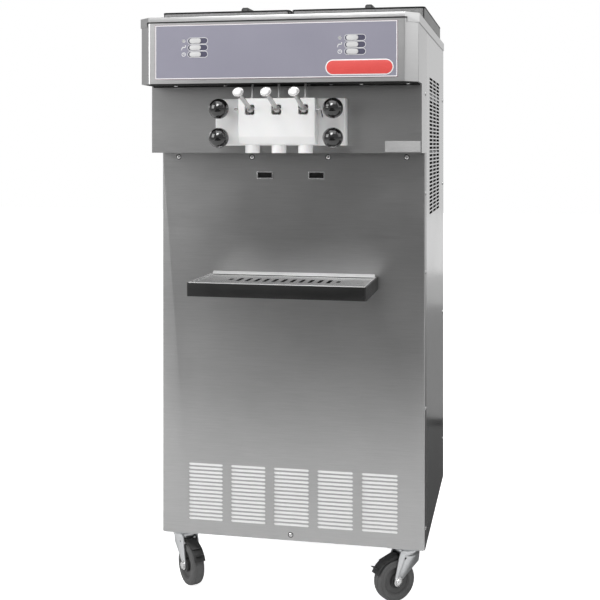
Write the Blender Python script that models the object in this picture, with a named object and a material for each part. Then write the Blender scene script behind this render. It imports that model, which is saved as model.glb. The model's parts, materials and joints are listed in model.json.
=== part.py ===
# Floor-standing twin-flavour soft-serve freezer on casters.
# Units are metres and +Z is up. The datum is the front face of the lower front panel at floor level,
# in the middle of the width. X runs to the right and Y to the rear for someone who faces the front.
import math

import bmesh
import bpy

# ---- overall cabinet ----
WIDTH = 0.660              # outside of the side panels
DEPTH = 0.606              # front panel's face to rear panel's face
BASE_Z = 0.132             # underside of the base plate and of the cabinet's skin
DECK_Z = 1.4055            # top of the hopper deck
SHEET = 0.0015             # thickness of every skin sheet
GAP = 0.0003               # space left between pieces that touch

# ---- front panel ----
WRAP = 0.045               # how far the front panel turns back along each side
HEAD_FLOOR_Z = 1.0873      # underside of the dispensing head
VENT_GROUPS = 5
VENT_ROWS = 15
VENT_COLUMN_PITCH = 0.1095
VENT_ROW_PITCH = 0.0097
VENT_LENGTH = 0.0895
VENT_HEIGHT = 0.0063
FRONT_VENT_Z = 0.1703      # lowest row of the front vents
CHUTE_X = 0.0648           # seal leak chutes, left and right of the middle
CHUTE_Z = 1.032
CHUTE_WIDTH = 0.0385
CHUTE_HEIGHT = 0.0158

# ---- side and rear panels ----
SIDE_VENT_COLUMNS = 3
SIDE_VENT_ROWS = 36
SIDE_VENT_Y = 0.285
SIDE_VENT_Z = 0.9345
REAR_VENT_ROWS = 10
REAR_VENT_Z = 0.240
GLAND_X = 0.225
GLAND_Z = 0.330
GLAND_HOLE = 0.0110
GLAND_BORE = 0.0048
GLAND_FLANGE = 0.0165
GLAND_REACH = 0.0050

# ---- dispensing head ----
HEAD_REACH = 0.1852        # header's face ahead of the front panel
PANEL_REACH = 0.0817       # dispensing panel's face ahead of the front panel
HEADER_Z = 1.2497          # underside of the header
HEADER_CHAMFER = 0.029
FASCIA_WIDTH = 0.571
FASCIA_LOW = 1.2595
FASCIA_HIGH = 1.387
FASCIA_THICK = 0.0010
KEY_LENGTH = 0.0276
KEY_HEIGHT = 0.0114
KEY_PITCH = 0.0157
KEY_DEPTH = 0.0070
KEY_PROUD = 0.0014
KEY_CLEAR = 0.0005
KEY_CENTRES = {"left": (-0.1872, 1.3331), "right": (0.1826, 1.3336)}
KEY_NAMES = ("freeze", "serve", "standby")

# ---- hoppers and lids ----
SIDE_FLANGE = 0.022
FRONT_FLANGE = 0.011
TUB_INNER_X = 0.020
TUB_OUTER_X = 0.315
TUB_FRONT = 0.025
TUB_BACK = 0.465
TUB_DEPTH = 0.150
FEED_BORE = 0.0090
FEED_Y = 0.075
LID_INNER_X = 0.0030
LID_BACK = 0.490
LID_HEIGHT = 0.0335
LID_WALL = 0.0030
LID_CORNER = 0.011
GRIP_WIDTH = 0.0165
GRIP_FRONT = 0.180
GRIP_BACK = 0.310
GRIP_RISE = 0.0345
GRIP_THICK = 0.0090

# ---- freezing barrels and beaters ----
SPOUT_PITCH = 0.0637       # draw spouts, and the barrels behind the outer two
BARREL_Z = 1.160
BARREL_BORE = 0.0420
BARREL_WALL = 0.0040
BARREL_BACK = 0.300
FACE_PLATE_WIDTH = 0.296
FACE_PLATE_HEIGHT = 0.096
FACE_PLATE_THICK = 0.010
FACE_PLATE_PROUD = 0.0025
BEATER_CLEAR = 0.0015
SHAFT_RADIUS = 0.0080
SHAFT_CLEAR = 0.0005
GEARBOX_WIDTH = 0.104
GEARBOX_LENGTH = 0.115
GEARBOX_FRONT = 0.320
MOTOR_RADIUS = 0.048
MOTOR_LENGTH = DEPTH - GEARBOX_FRONT - GEARBOX_LENGTH - 0.051   # leaves room ahead of the rear panel
SHELF_Z = 1.090

# ---- freezer door, handles and draw valves ----
DOOR_WIDTH = 0.312
DOOR_LOW = 1.105
DOOR_HIGH = 1.216
DOOR_THICK = 0.0405
BLOCK_WIDTH = 0.184
BLOCK_REACH = 0.034        # raised block ahead of the door's plate
BLOCK_SLOPE = 0.0205       # height of the slanted lower edge
BLOCK_LEAN = 0.0105        # how far that edge leans back
BLOCK_FOOT = 0.0020        # block's underside above the plate's
SPOUT_RADIUS = 0.0173
SPOUT_MOUTH = 0.0125
SPOUT_RECESS = 0.012
VALVE_RADIUS = 0.0080
VALVE_CLEAR = 0.0004
VALVE_SETBACK = 0.0290     # valve's axis behind the block's face
PIVOT_SETBACK = 0.0055     # pivot rod's axis behind the block's face
PIVOT_Z = 1.190
PIVOT_ROD = 0.0024
PIVOT_CLEAR = 0.0004
HANDLE_BOSS = 0.0052
HANDLE_WIDTH = 0.015
HANDLE_REACH = 0.1085      # pivot to the middle of the thumb pad, level
HANDLE_RISE = 0.0335
HANDLE_PAD = 0.0125
HANDLE_PAD_TILT = math.radians(42)
HANDLE_SWING = math.radians(35)
POCKET_WIDTH = 0.024
TONGUE = 0.0025            # half thickness of the handle's tongue
ROD_RADIUS = 0.0028
STUD_X = 0.1352
STUD_HIGH = 1.1907
STUD_LOW = 1.123
STUD_RADIUS = 0.0040
STUD_REACH = 0.0400        # studs ahead of the door's face
KNOB_RADIUS = 0.0238
KNOB_NECK = 0.0100
KNOB_STAND = 0.0450        # knob's centre ahead of the door's face

# ---- drip tray ----
TRAY_WIDTH = 0.420
TRAY_X = 0.007             # the tray hangs a little to the right of the middle
TRAY_REACH = 0.205
TRAY_TOP = 0.787
TRAY_HEIGHT = 0.031
TRAY_WALL = 0.0030
GRID_RIM = 0.0060
GRID_THICK = 0.0012
GRID_SLOTS = 13
GRID_PITCH = 0.0217
GRID_SLOT_WIDTH = 0.0090
GRID_SLOT_LENGTH = 0.058
GRID_END_LENGTH = 0.028
BRACKET_WIDTH = 0.340
BRACKET_REACH = 0.160
BRACKET_DROP = 0.026

# ---- refrigeration in the base ----
FILTER_THICK = 0.0055
CONDENSER_WIDTH = 0.540
CONDENSER_HEIGHT = 0.160
CONDENSER_THICK = 0.035
CONDENSER_Y = 0.014
FAN_RADIUS = 0.0700
FAN_CLEAR = 0.0030
FAN_BLADES = 5
SHROUD_LENGTH = 0.045
FAN_MOTOR_RADIUS = 0.030
FAN_MOTOR_LENGTH = 0.045
COMPRESSOR_RADIUS = 0.090
COMPRESSOR_HEIGHT = 0.205
COMPRESSOR_X = 0.160
COMPRESSOR_Y = DEPTH - 0.186

# ---- casters ----
WHEEL_RADIUS = 0.0508
WHEEL_WIDTH = 0.032
HUB_WIDTH = 0.036
HUB_RADIUS = 0.0165
AXLE_RADIUS = 0.0050
AXLE_HEAD = 0.0085
AXLE_CLEAR = 0.0004
CASTER_X = 0.284
CASTER_Y = 0.041
CASTER_TRAIL = 0.038
FORK_TOP = 0.1285
CROWN_RADIUS = 0.029
CROWN_HEIGHT = 0.0190
FORK_LEG = 0.0030
KINGPIN = 0.0060
PAD_THICK = 0.0030
PEDAL_GAP = 0.0035
PEDAL_THICK = 0.0030
PEDAL_PIVOT = (0.0180, 2 * WHEEL_RADIUS + 0.0029)   # along the trail, above the floor
CASTERS = {
    "front_right": (1, -1, -143.0),
    "front_left": (-1, -1, -48.7),
    "rear_right": (1, 1, -112.0),
    "rear_left": (-1, 1, -66.0),
}

HALF = WIDTH / 2
HANDLE_TIP = HANDLE_REACH + HANDLE_PAD * math.sin(HANDLE_PAD_TILT) + 0.004
DOOR_BACK = -(PANEL_REACH + FACE_PLATE_PROUD + GAP)
DOOR_FACE = DOOR_BACK - DOOR_THICK
BLOCK_FACE = DOOR_FACE - BLOCK_REACH
PIVOT_Y = BLOCK_FACE + PIVOT_SETBACK
VALVE_Y = BLOCK_FACE + VALVE_SETBACK
HANDLE_ANGLE = math.atan2(HANDLE_RISE, HANDLE_REACH)
TONGUE_REACH = VALVE_SETBACK - PIVOT_SETBACK
NOTCH_Z = PIVOT_Z - TONGUE_REACH * math.sin(HANDLE_ANGLE)
DECK_OUTSET = GAP + SHEET
FRONT_MOST = PIVOT_Y - HANDLE_TIP
BACK_MOST = DEPTH + GLAND_REACH
LID_FRONT = 0.0
LID_LOW = DECK_Z + GAP
LID_TOP = LID_LOW + LID_HEIGHT
TUB_FLOOR = DECK_Z - TUB_DEPTH


# ---- modelling helpers ----

def new_object(name, bm):
    bmesh.ops.remove_doubles(bm, verts=bm.verts, dist=1e-6)
    bmesh.ops.recalc_face_normals(bm, faces=bm.faces)
    mesh = bpy.data.meshes.new(name)
    bm.to_mesh(mesh)
    bm.free()
    obj = bpy.data.objects.new(name, mesh)
    bpy.context.scene.collection.objects.link(obj)
    return obj


def along(axis, u, v, w):
    """Point with (u, v) across the axis and w along it."""
    if axis == "X":
        return (w, u, v)
    if axis == "Y":
        return (u, w, v)
    return (u, v, w)


def prism(outline, axis, low, high):
    """Straight solid of a flat outline; outline pairs are the two other axes in X, Y, Z order."""
    bm = bmesh.new()
    near = [bm.verts.new(along(axis, u, v, low)) for u, v in outline]
    far = [bm.verts.new(along(axis, u, v, high)) for u, v in outline]
    bm.faces.new(near)
    bm.faces.new(far)
    for i in range(len(outline)):
        j = (i + 1) % len(outline)
        bm.faces.new((near[i], near[j], far[j], far[i]))
    return new_object("prism", bm)


def block(x_low, x_high, y_low, y_high, z_low, z_high):
    corners = [(x_low, y_low), (x_high, y_low), (x_high, y_high), (x_low, y_high)]
    return prism(corners, "Z", z_low, z_high)


def rod(axis, u, v, low, high, radius, sides=16):
    turns = [2 * math.pi * (i + 0.5) / sides for i in range(sides)]
    circle = [(u + radius * math.cos(a), v + radius * math.sin(a)) for a in turns]
    return prism(circle, axis, low, high)


def stadium(u, v, length, height, steps=1):
    """Outline of a slot with round ends, long way along u."""
    reach = length / 2 - height / 2
    points = []
    for side, start in ((1, -90), (-1, 90)):
        for i in range(steps + 2):
            a = math.radians(start + 180 * i / (steps + 1))
            points.append((u + side * reach + height / 2 * math.cos(a), v + height / 2 * math.sin(a)))
    return points


def rounded(x_low, x_high, y_low, y_high, radius, steps=3):
    points = []
    centres = ((x_high, y_low, -90), (x_high, y_high, 0), (x_low, y_high, 90), (x_low, y_low, 180))
    for x, y, start in centres:
        cx = x - math.copysign(radius, x - (x_low + x_high) / 2)
        cy = y - math.copysign(radius, y - (y_low + y_high) / 2)
        for i in range(steps + 1):
            a = math.radians(start + 90 * i / steps)
            points.append((cx + radius * math.cos(a), cy + radius * math.sin(a)))
    return points


def turned(profile, axis, steps=24, closed=False):
    """Solid of revolution; profile pairs are (radius, distance along the axis)."""
    bm = bmesh.new()
    rings = []
    for radius, w in profile:
        if radius < 1e-6:
            rings.append([bm.verts.new(along(axis, 0, 0, w))])
            continue
        ring = []
        for i in range(steps):
            a = 2 * math.pi * i / steps
            ring.append(bm.verts.new(along(axis, radius * math.cos(a), radius * math.sin(a), w)))
        rings.append(ring)
    pairs = list(zip(rings, rings[1:]))
    if closed:
        pairs.append((rings[-1], rings[0]))
    for one, two in pairs:
        for i in range(steps):
            j = (i + 1) % steps
            corners = [one[i % len(one)], one[j % len(one)], two[j % len(two)], two[i % len(two)]]
            bm.faces.new(list(dict.fromkeys(corners)))
    return new_object("turned", bm)


def bent_rod(points, radius, sides=10):
    """Round bar along a path that lies in one plane; the path's first point starts flat."""
    bm = bmesh.new()
    rings = []
    count = len(points)
    normal = plane_normal(points)
    for i in range(count):
        before = points[max(i - 1, 0)]
        after = points[min(i + 1, count - 1)]
        heading = unit([b - a for a, b in zip(before, after)])
        across = cross(heading, normal)
        ring = []
        for s in range(sides):
            a = 2 * math.pi * s / sides
            shift = [radius * (math.cos(a) * p + math.sin(a) * q) for p, q in zip(across, normal)]
            ring.append(bm.verts.new([c + d for c, d in zip(points[i], shift)]))
        rings.append(ring)
    for one, two in zip(rings, rings[1:]):
        for i in range(sides):
            j = (i + 1) % sides
            bm.faces.new((one[i], one[j], two[j], two[i]))
    bm.faces.new(rings[0])
    bm.faces.new(rings[-1])
    return new_object("bent_rod", bm)


def unit(v):
    size = math.sqrt(sum(c * c for c in v))
    return [c / size for c in v]


def cross(a, b):
    return [a[1] * b[2] - a[2] * b[1], a[2] * b[0] - a[0] * b[2], a[0] * b[1] - a[1] * b[0]]


def plane_normal(points):
    first = [b - a for a, b in zip(points[0], points[1])]
    last = [b - a for a, b in zip(points[-2], points[-1])]
    return unit(cross(first, last))


def boolean(target, tools, operation):
    """Applies one exact Boolean for each tool, and removes the tools."""
    for tool in tools:
        modifier = target.modifiers.new("boolean", "BOOLEAN")
        modifier.operation = operation
        modifier.solver = "EXACT"
        modifier.object = tool
        depsgraph = bpy.context.evaluated_depsgraph_get()
        mesh = bpy.data.meshes.new_from_object(target.evaluated_get(depsgraph))
        target.modifiers.clear()
        old = target.data
        target.data = mesh
        bpy.data.meshes.remove(old)
        bpy.data.objects.remove(tool, do_unlink=True)
    return target


def union(target, *tools):
    return boolean(target, tools, "UNION")


def cut(target, *tools):
    return boolean(target, tools, "DIFFERENCE")


def gather(pieces):
    """Joins tools that don't touch each other into one cutter."""
    bm = bmesh.new()
    for piece in pieces:
        bm.from_mesh(piece.data)
        bpy.data.objects.remove(piece, do_unlink=True)
    return new_object("cutter", bm)


def place(obj, x=0.0, y=0.0, z=0.0, turn=0.0):
    """Moves the mesh itself, so that a tool can be set down before a Boolean."""
    cos_t = math.cos(turn)
    sin_t = math.sin(turn)
    for vertex in obj.data.vertices:
        a, b, c = vertex.co
        vertex.co = (x + a * cos_t - b * sin_t, y + a * sin_t + b * cos_t, z + c)
    return obj


def material(name, color, roughness, metallic=0.0):
    mat = bpy.data.materials.new(name)
    mat.use_nodes = True
    shader = mat.node_tree.nodes["Principled BSDF"]
    shader.inputs["Base Color"].default_value = (*color, 1.0)
    shader.inputs["Roughness"].default_value = roughness
    shader.inputs["Metallic"].default_value = metallic
    mat.diffuse_color = (*color, 1.0)
    return mat


def node(name, obj, look, parent, location=(0, 0, 0), turn=0.0, smooth=None):
    """Names a finished solid, gives it its own material and hangs it on its parent."""
    obj.name = name
    obj.data.name = name
    obj.data.materials.clear()
    obj.data.materials.append(material(name, *look))
    obj.parent = parent
    obj.location = location
    obj.rotation_euler = (0, 0, turn)
    if smooth:
        obj.data.shade_smooth()
        obj.data.set_sharp_from_angle(angle=math.radians(smooth))
    return obj


STEEL = ((0.42, 0.42, 0.42), 0.32, 1.0)
BRIGHT = ((0.60, 0.60, 0.60), 0.25, 1.0)
GALVANISED = ((0.50, 0.51, 0.52), 0.45, 1.0)
CAST_GREY = ((0.48, 0.48, 0.47), 0.40, 0.9)
WHITE = ((0.86, 0.86, 0.85), 0.35)
BLACK = ((0.015, 0.015, 0.016), 0.12)
LID_GREY = ((0.11, 0.11, 0.11), 0.55)
FASCIA = ((0.25, 0.24, 0.33), 0.30)
RUBBER = ((0.045, 0.045, 0.045), 0.70)
FILTER = ((0.88, 0.88, 0.88), 0.90)
ENAMEL = ((0.02, 0.02, 0.022), 0.40)
PALE_KEY = ((0.80, 0.80, 0.82), 0.35)


# ---- cabinet ----

def front_path(inset, back):
    """Plan of the head's front, left to right, moved inwards by inset."""
    lean = (math.sqrt(2) - 1) * inset
    side = HALF - inset
    corner = HALF - HEADER_CHAMFER - lean
    chamfer_y = -HEAD_REACH + HEADER_CHAMFER + lean
    face = -HEAD_REACH + inset
    left = [(-side, back), (-side, chamfer_y), (-corner, face)]
    return left + [(-x, y) for x, y in reversed(left)]


def vent_slots(axis, low, high, columns, rows, centre, first_z, ends):
    """Rows of slots through a panel: axis is the panel's normal, centre the middle of the columns."""
    slots = []
    for column in range(columns):
        u = centre + (column - (columns - 1) / 2) * VENT_COLUMN_PITCH
        for row in range(rows):
            v = first_z + row * VENT_ROW_PITCH
            outline = stadium(u, v, VENT_LENGTH, VENT_HEIGHT) if ends else [
                (u - VENT_LENGTH / 2, v - VENT_HEIGHT / 2), (u + VENT_LENGTH / 2, v - VENT_HEIGHT / 2),
                (u + VENT_LENGTH / 2, v + VENT_HEIGHT / 2), (u - VENT_LENGTH / 2, v + VENT_HEIGHT / 2)]
            slots.append(prism(outline, axis, low, high))
    return gather(slots)


def make_front_panel(datum):
    inner = HALF - SHEET
    outline = [(-HALF, WRAP), (-HALF, 0), (HALF, 0), (HALF, WRAP)]
    outline += [(inner, WRAP), (inner, SHEET), (-inner, SHEET), (-inner, WRAP)]
    panel = prism(outline, "Z", BASE_Z, HEAD_FLOOR_Z - GAP)
    cut(panel, vent_slots("Y", -0.01, 0.01, VENT_GROUPS, VENT_ROWS, 0.0015, FRONT_VENT_Z, True))
    chutes = []
    for side in (-1, 1):
        x = side * CHUTE_X
        z = CHUTE_Z
        half = CHUTE_WIDTH / 2
        tall = CHUTE_HEIGHT / 2
        chutes.append(block(x - half, x + half, -0.01, 0.01, z - tall, z + tall))
    cut(panel, gather(chutes))
    node("front_panel", panel, STEEL, datum)


def make_side_panels(datum):
    for side, name in ((-1, "left_side_panel"), (1, "right_side_panel")):
        x_low, x_high = sorted((side * HALF, side * (HALF - SHEET)))
        panel = block(x_low, x_high, WRAP + GAP, DEPTH, BASE_Z, DECK_Z - SHEET - GAP)
        reach = 0.01
        cut(panel, vent_slots("X", x_low - reach, x_high + reach, SIDE_VENT_COLUMNS, SIDE_VENT_ROWS,
                              SIDE_VENT_Y, SIDE_VENT_Z, False))
        node(name, panel, STEEL, datum)


def make_rear_panel(datum):
    half = HALF - SHEET - GAP
    panel = block(-half, half, DEPTH - SHEET, DEPTH, BASE_Z, DECK_Z - SHEET - GAP)
    cut(panel, vent_slots("Y", DEPTH - 0.01, DEPTH + 0.01, 3, REAR_VENT_ROWS, 0.0, REAR_VENT_Z, False),
        rod("Y", GLAND_X, GLAND_Z, DEPTH - 0.01, DEPTH + 0.01, GLAND_HOLE))
    node("rear_panel", panel, STEEL, datum)

    sleeve = GLAND_HOLE - GAP
    inside = DEPTH - 0.012
    profile = [(GLAND_BORE, inside), (sleeve, inside), (sleeve, DEPTH + GAP), (GLAND_FLANGE, DEPTH + GAP),
               (GLAND_FLANGE, DEPTH + 0.002), (sleeve, DEPTH + GLAND_REACH),
               (GLAND_BORE, DEPTH + GLAND_REACH)]
    gland = place(turned(profile, "Y", 16, closed=True), GLAND_X, 0, GLAND_Z)
    node("cord_gland", gland, RUBBER, datum, smooth=40)


def make_header(datum):
    """Header shell with its dark underside and the two cheeks beside the dispensing panel."""
    top = DECK_Z - SHEET - GAP
    shell = prism(front_path(0, WRAP) + list(reversed(front_path(SHEET, WRAP))), "Z", HEADER_Z, top)
    under = prism(front_path(SHEET / 2, -PANEL_REACH), "Z", HEADER_Z, HEADER_Z + SHEET)
    cheeks = []
    for side in (-1, 1):
        x_low, x_high = sorted((side * HALF, side * (HALF - SHEET)))
        front = -PANEL_REACH + SHEET + GAP
        cheeks.append(block(x_low, x_high, front, WRAP, HEAD_FLOOR_Z, HEADER_Z + 0.02))
    union(shell, under, *cheeks)
    holes = [rod("Z", x, VALVE_Y, HEADER_Z - 0.01, HEADER_Z + 0.01, ROD_RADIUS + 2 * GAP, 12)
             for x in (-SPOUT_PITCH, 0, SPOUT_PITCH)]
    cut(shell, gather(holes), key_holes(-HEAD_REACH - 0.01, -HEAD_REACH + 0.01))
    node("header_housing", shell, STEEL, datum)


def key_places():
    for side, (x, z) in KEY_CENTRES.items():
        for row, name in enumerate(KEY_NAMES):
            yield side + "_" + name + "_key", x, z + (1 - row) * KEY_PITCH


def key_holes(low, high):
    holes = []
    for _, x, z in key_places():
        outline = stadium(x, z, KEY_LENGTH + 2 * KEY_CLEAR, KEY_HEIGHT + 2 * KEY_CLEAR, 2)
        holes.append(prism(outline, "Y", low, high))
    return gather(holes)


def make_fascia(datum):
    back = -HEAD_REACH - GAP
    half = FASCIA_WIDTH / 2
    plate = block(-half, half, back - FASCIA_THICK, back, FASCIA_LOW, FASCIA_HIGH)
    cut(plate, key_holes(back - 0.01, back + 0.01))
    node("control_fascia", plate, FASCIA, datum)
    for name, x, z in key_places():
        key = prism(stadium(0, 0, KEY_LENGTH, KEY_HEIGHT, 2), "Y", 0, KEY_DEPTH)
        face = back - FASCIA_THICK - KEY_PROUD
        node(name, key, PALE_KEY, datum, (x, face, z))


def make_dispensing_panel(datum):
    face = -PANEL_REACH
    panel = block(-HALF, HALF, face, face + SHEET, HEAD_FLOOR_Z, HEADER_Z - GAP)
    inside = HALF - SHEET - GAP
    union(panel, block(-inside, inside, face + SHEET / 2, 2 * SHEET, HEAD_FLOOR_Z, HEAD_FLOOR_Z + SHEET))
    half = FACE_PLATE_WIDTH / 2 + GAP
    tall = FACE_PLATE_HEIGHT / 2 + GAP
    cut(panel, block(-half, half, face - 0.01, face + 0.01, BARREL_Z - tall, BARREL_Z + tall))
    node("dispensing_panel", panel, STEEL, datum)


def make_frame(datum):
    """Base plate, caster pads with kingpins, posts, rails, machinery shelf and barrel cradle."""
    edge = HALF - SHEET - 0.0025
    front = 0.004
    back = DEPTH - SHEET - 0.0025
    post = 0.025
    low_top = TUB_FLOOR - SHEET - 0.009
    high_top = DECK_Z - SHEET - GAP
    lap = 0.001
    frame = block(-edge, edge, front, back, BASE_Z, BASE_Z + PAD_THICK)
    shelf_front = 0.19
    parts = [
        block(-edge, edge, shelf_front, back, SHELF_Z - 0.005, SHELF_Z),
        block(-0.12, 0.12, shelf_front + 0.010, shelf_front + 0.050, SHELF_Z - lap,
              BARREL_Z - BARREL_BORE - BARREL_WALL - GAP),
        block(-edge, edge, front, front + 0.020, 1.055, 1.075),
        block(-edge, edge, back - post, back, high_top - post, high_top),
    ]
    for side in (-1, 1):
        x_low, x_high = sorted((side * edge, side * (edge - post)))
        parts.append(block(x_low, x_high, front, front + post, BASE_Z + lap, low_top))
        parts.append(block(x_low, x_high, back - post, back, BASE_Z + lap, high_top))
        rail_low, rail_high = sorted((side * edge, side * (edge - 0.008)))
        parts.append(block(rail_low, rail_high, front + lap, back - lap, low_top - post, low_top))
    for side_x, side_y, _ in CASTERS.values():
        x = side_x * CASTER_X
        y = CASTER_Y if side_y < 0 else DEPTH - CASTER_Y
        pad = (max(x - 0.045, -edge), min(x + 0.045, edge), max(y - 0.036, front), min(y + 0.036, back))
        parts.append(block(*pad, BASE_Z - PAD_THICK, BASE_Z + lap))
        parts.append(rod("Z", x, y, FORK_TOP - CROWN_HEIGHT + 0.003, BASE_Z, KINGPIN, 12))
    union(frame, *parts)
    node("frame", frame, GALVANISED, datum)


# ---- hoppers ----

def make_deck(datum):
    """Deck sheet with its folded flange and the two hopper tubs, one welded piece."""
    back = DEPTH + DECK_OUTSET
    deck = prism(front_path(-DECK_OUTSET, back), "Z", DECK_Z - SIDE_FLANGE, DECK_Z)
    cut(deck, prism(front_path(-GAP, DEPTH + GAP), "Z", DECK_Z - 0.1, DECK_Z - SHEET))
    step = HALF - HEADER_CHAMFER + 0.006
    cut(deck, block(-step, step, -HEAD_REACH - 0.02, -HEAD_REACH + 0.02,
                    DECK_Z - 0.1, DECK_Z - FRONT_FLANGE))
    for side in (-1, 1):
        x_low, x_high = sorted((side * TUB_INNER_X, side * TUB_OUTER_X))
        wall = SHEET
        union(deck, block(x_low - wall, x_high + wall, TUB_FRONT - wall, TUB_BACK + wall,
                          TUB_FLOOR - wall, DECK_Z - wall / 2))
        feed_x = side * SPOUT_PITCH
        barrel_top = BARREL_Z + BARREL_BORE + BARREL_WALL
        union(deck, rod("Z", feed_x, FEED_Y, barrel_top + GAP, TUB_FLOOR - wall / 2,
                        FEED_BORE + 2 * SHEET))
        cut(deck, block(x_low, x_high, TUB_FRONT, TUB_BACK, TUB_FLOOR, DECK_Z + 0.01))
        cut(deck, rod("Z", feed_x, FEED_Y, barrel_top - 0.01, TUB_FLOOR + 0.01, FEED_BORE))
    node("hopper_deck", deck, STEEL, datum)


def make_lids(datum):
    for side, name in ((-1, "left_lid"), (1, "right_lid")):
        x_low, x_high = sorted((side * LID_INNER_X, side * HALF))
        lid = prism(rounded(x_low, x_high, LID_FRONT, LID_BACK, LID_CORNER), "Z", LID_LOW, LID_TOP)
        grip_x = side * (LID_INNER_X + HALF) / 2
        top = LID_TOP + GRIP_RISE
        lean = 0.014
        under = top - GRIP_THICK
        foot = GRIP_THICK * 1.3
        outline = [(GRIP_FRONT, LID_TOP - 0.001), (GRIP_FRONT + lean, top), (GRIP_BACK - lean, top),
                   (GRIP_BACK, LID_TOP - 0.001), (GRIP_BACK - foot, LID_TOP - 0.001),
                   (GRIP_BACK - foot - lean * 0.7, under), (GRIP_FRONT + foot + lean * 0.7, under),
                   (GRIP_FRONT + foot, LID_TOP - 0.001)]
        union(lid, prism(outline, "X", grip_x - GRIP_WIDTH / 2, grip_x + GRIP_WIDTH / 2))
        inset = LID_WALL
        inner = rounded(x_low + inset, x_high - inset, LID_FRONT + inset, LID_BACK - inset,
                        LID_CORNER - inset)
        cut(lid, prism(inner, "Z", LID_LOW - 0.01, LID_TOP - LID_WALL))
        node(name, lid, LID_GREY, datum)


# ---- freezing side ----

def make_barrels(datum):
    """Two freezing barrels welded to one face plate that carries the four door studs."""
    front = -PANEL_REACH - FACE_PLATE_PROUD
    half = FACE_PLATE_WIDTH / 2
    tall = FACE_PLATE_HEIGHT / 2
    barrels = block(-half, half, front, front + FACE_PLATE_THICK, BARREL_Z - tall, BARREL_Z + tall)
    outer = BARREL_BORE + BARREL_WALL
    for side in (-1, 1):
        x = side * SPOUT_PITCH
        union(barrels, rod("Y", x, BARREL_Z, front + 0.001, BARREL_BACK, outer, 18))
        cut(barrels, rod("Y", x, BARREL_Z, front - 0.01, BARREL_BACK - BARREL_WALL, BARREL_BORE, 18),
            rod("Y", x, BARREL_Z, BARREL_BACK - 0.01, BARREL_BACK + 0.01, SHAFT_RADIUS + SHAFT_CLEAR, 12),
            rod("Z", x, FEED_Y, BARREL_Z + BARREL_BORE / 2, BARREL_Z + 0.1, FEED_BORE, 10))
    for x, z in stud_places():
        union(barrels, rod("Y", x, z, DOOR_FACE - STUD_REACH, front + 0.002, STUD_RADIUS, 10))
    node("freezing_barrels", barrels, STEEL, datum, smooth=30)


def stud_places():
    return [(x, z) for x in (-STUD_X, STUD_X) for z in (STUD_HIGH, STUD_LOW)]


def make_beaters(datum):
    """A flat blade twisted one turn, on a shaft that leaves through the barrel's back wall."""
    front = DOOR_BACK + 0.004
    back = BARREL_BACK - BARREL_WALL - 0.004
    reach = BARREL_BORE - BEATER_CLEAR
    steps = 18
    thick = 0.004
    section = ((-reach, -thick), (0, -thick), (reach, -thick), (reach, thick), (0, thick), (-reach, thick))
    for side, name, hand in ((-1, "left_beater", 1), (1, "right_beater", -1)):
        bm = bmesh.new()
        rings = []
        for i in range(steps + 1):
            a = hand * 2 * math.pi * i / steps
            y = front + (back - front) * i / steps
            ring = []
            for u, v in section:
                size = min(1.0, reach / math.hypot(u, v))
                p = (u * math.cos(a) - v * math.sin(a)) * size
                q = (u * math.sin(a) + v * math.cos(a)) * size
                ring.append(bm.verts.new((p, y, q)))
            rings.append(ring)
        for one, two in zip(rings, rings[1:]):
            for i in range(len(section)):
                j = (i + 1) % len(section)
                bm.faces.new((one[i], one[j], two[j]))
                bm.faces.new((one[i], two[j], two[i]))
        bm.faces.new(rings[0])
        bm.faces.new(rings[-1])
        blade = new_object("blade", bm)
        union(blade, rod("Y", 0, 0, back - 0.006, GEARBOX_FRONT + 0.014, SHAFT_RADIUS, 12))
        node(name, blade, WHITE, datum, (side * SPOUT_PITCH, 0, BARREL_Z))


def make_gearmotors(datum):
    low = SHELF_Z + GAP
    half = GEARBOX_WIDTH / 2
    back = GEARBOX_FRONT + GEARBOX_LENGTH
    for side, name in ((-1, "left_gearmotor"), (1, "right_gearmotor")):
        x = side * SPOUT_PITCH
        box = block(x - half, x + half, GEARBOX_FRONT, back, low, BARREL_Z + half)
        union(box, rod("Y", x, BARREL_Z, back - 0.002, back + MOTOR_LENGTH, MOTOR_RADIUS, 16))
        cut(box, rod("Y", x, BARREL_Z, GEARBOX_FRONT - 0.01, GEARBOX_FRONT + 0.016,
                     SHAFT_RADIUS + SHAFT_CLEAR, 12))
        node(name, box, ENAMEL, datum)


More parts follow.
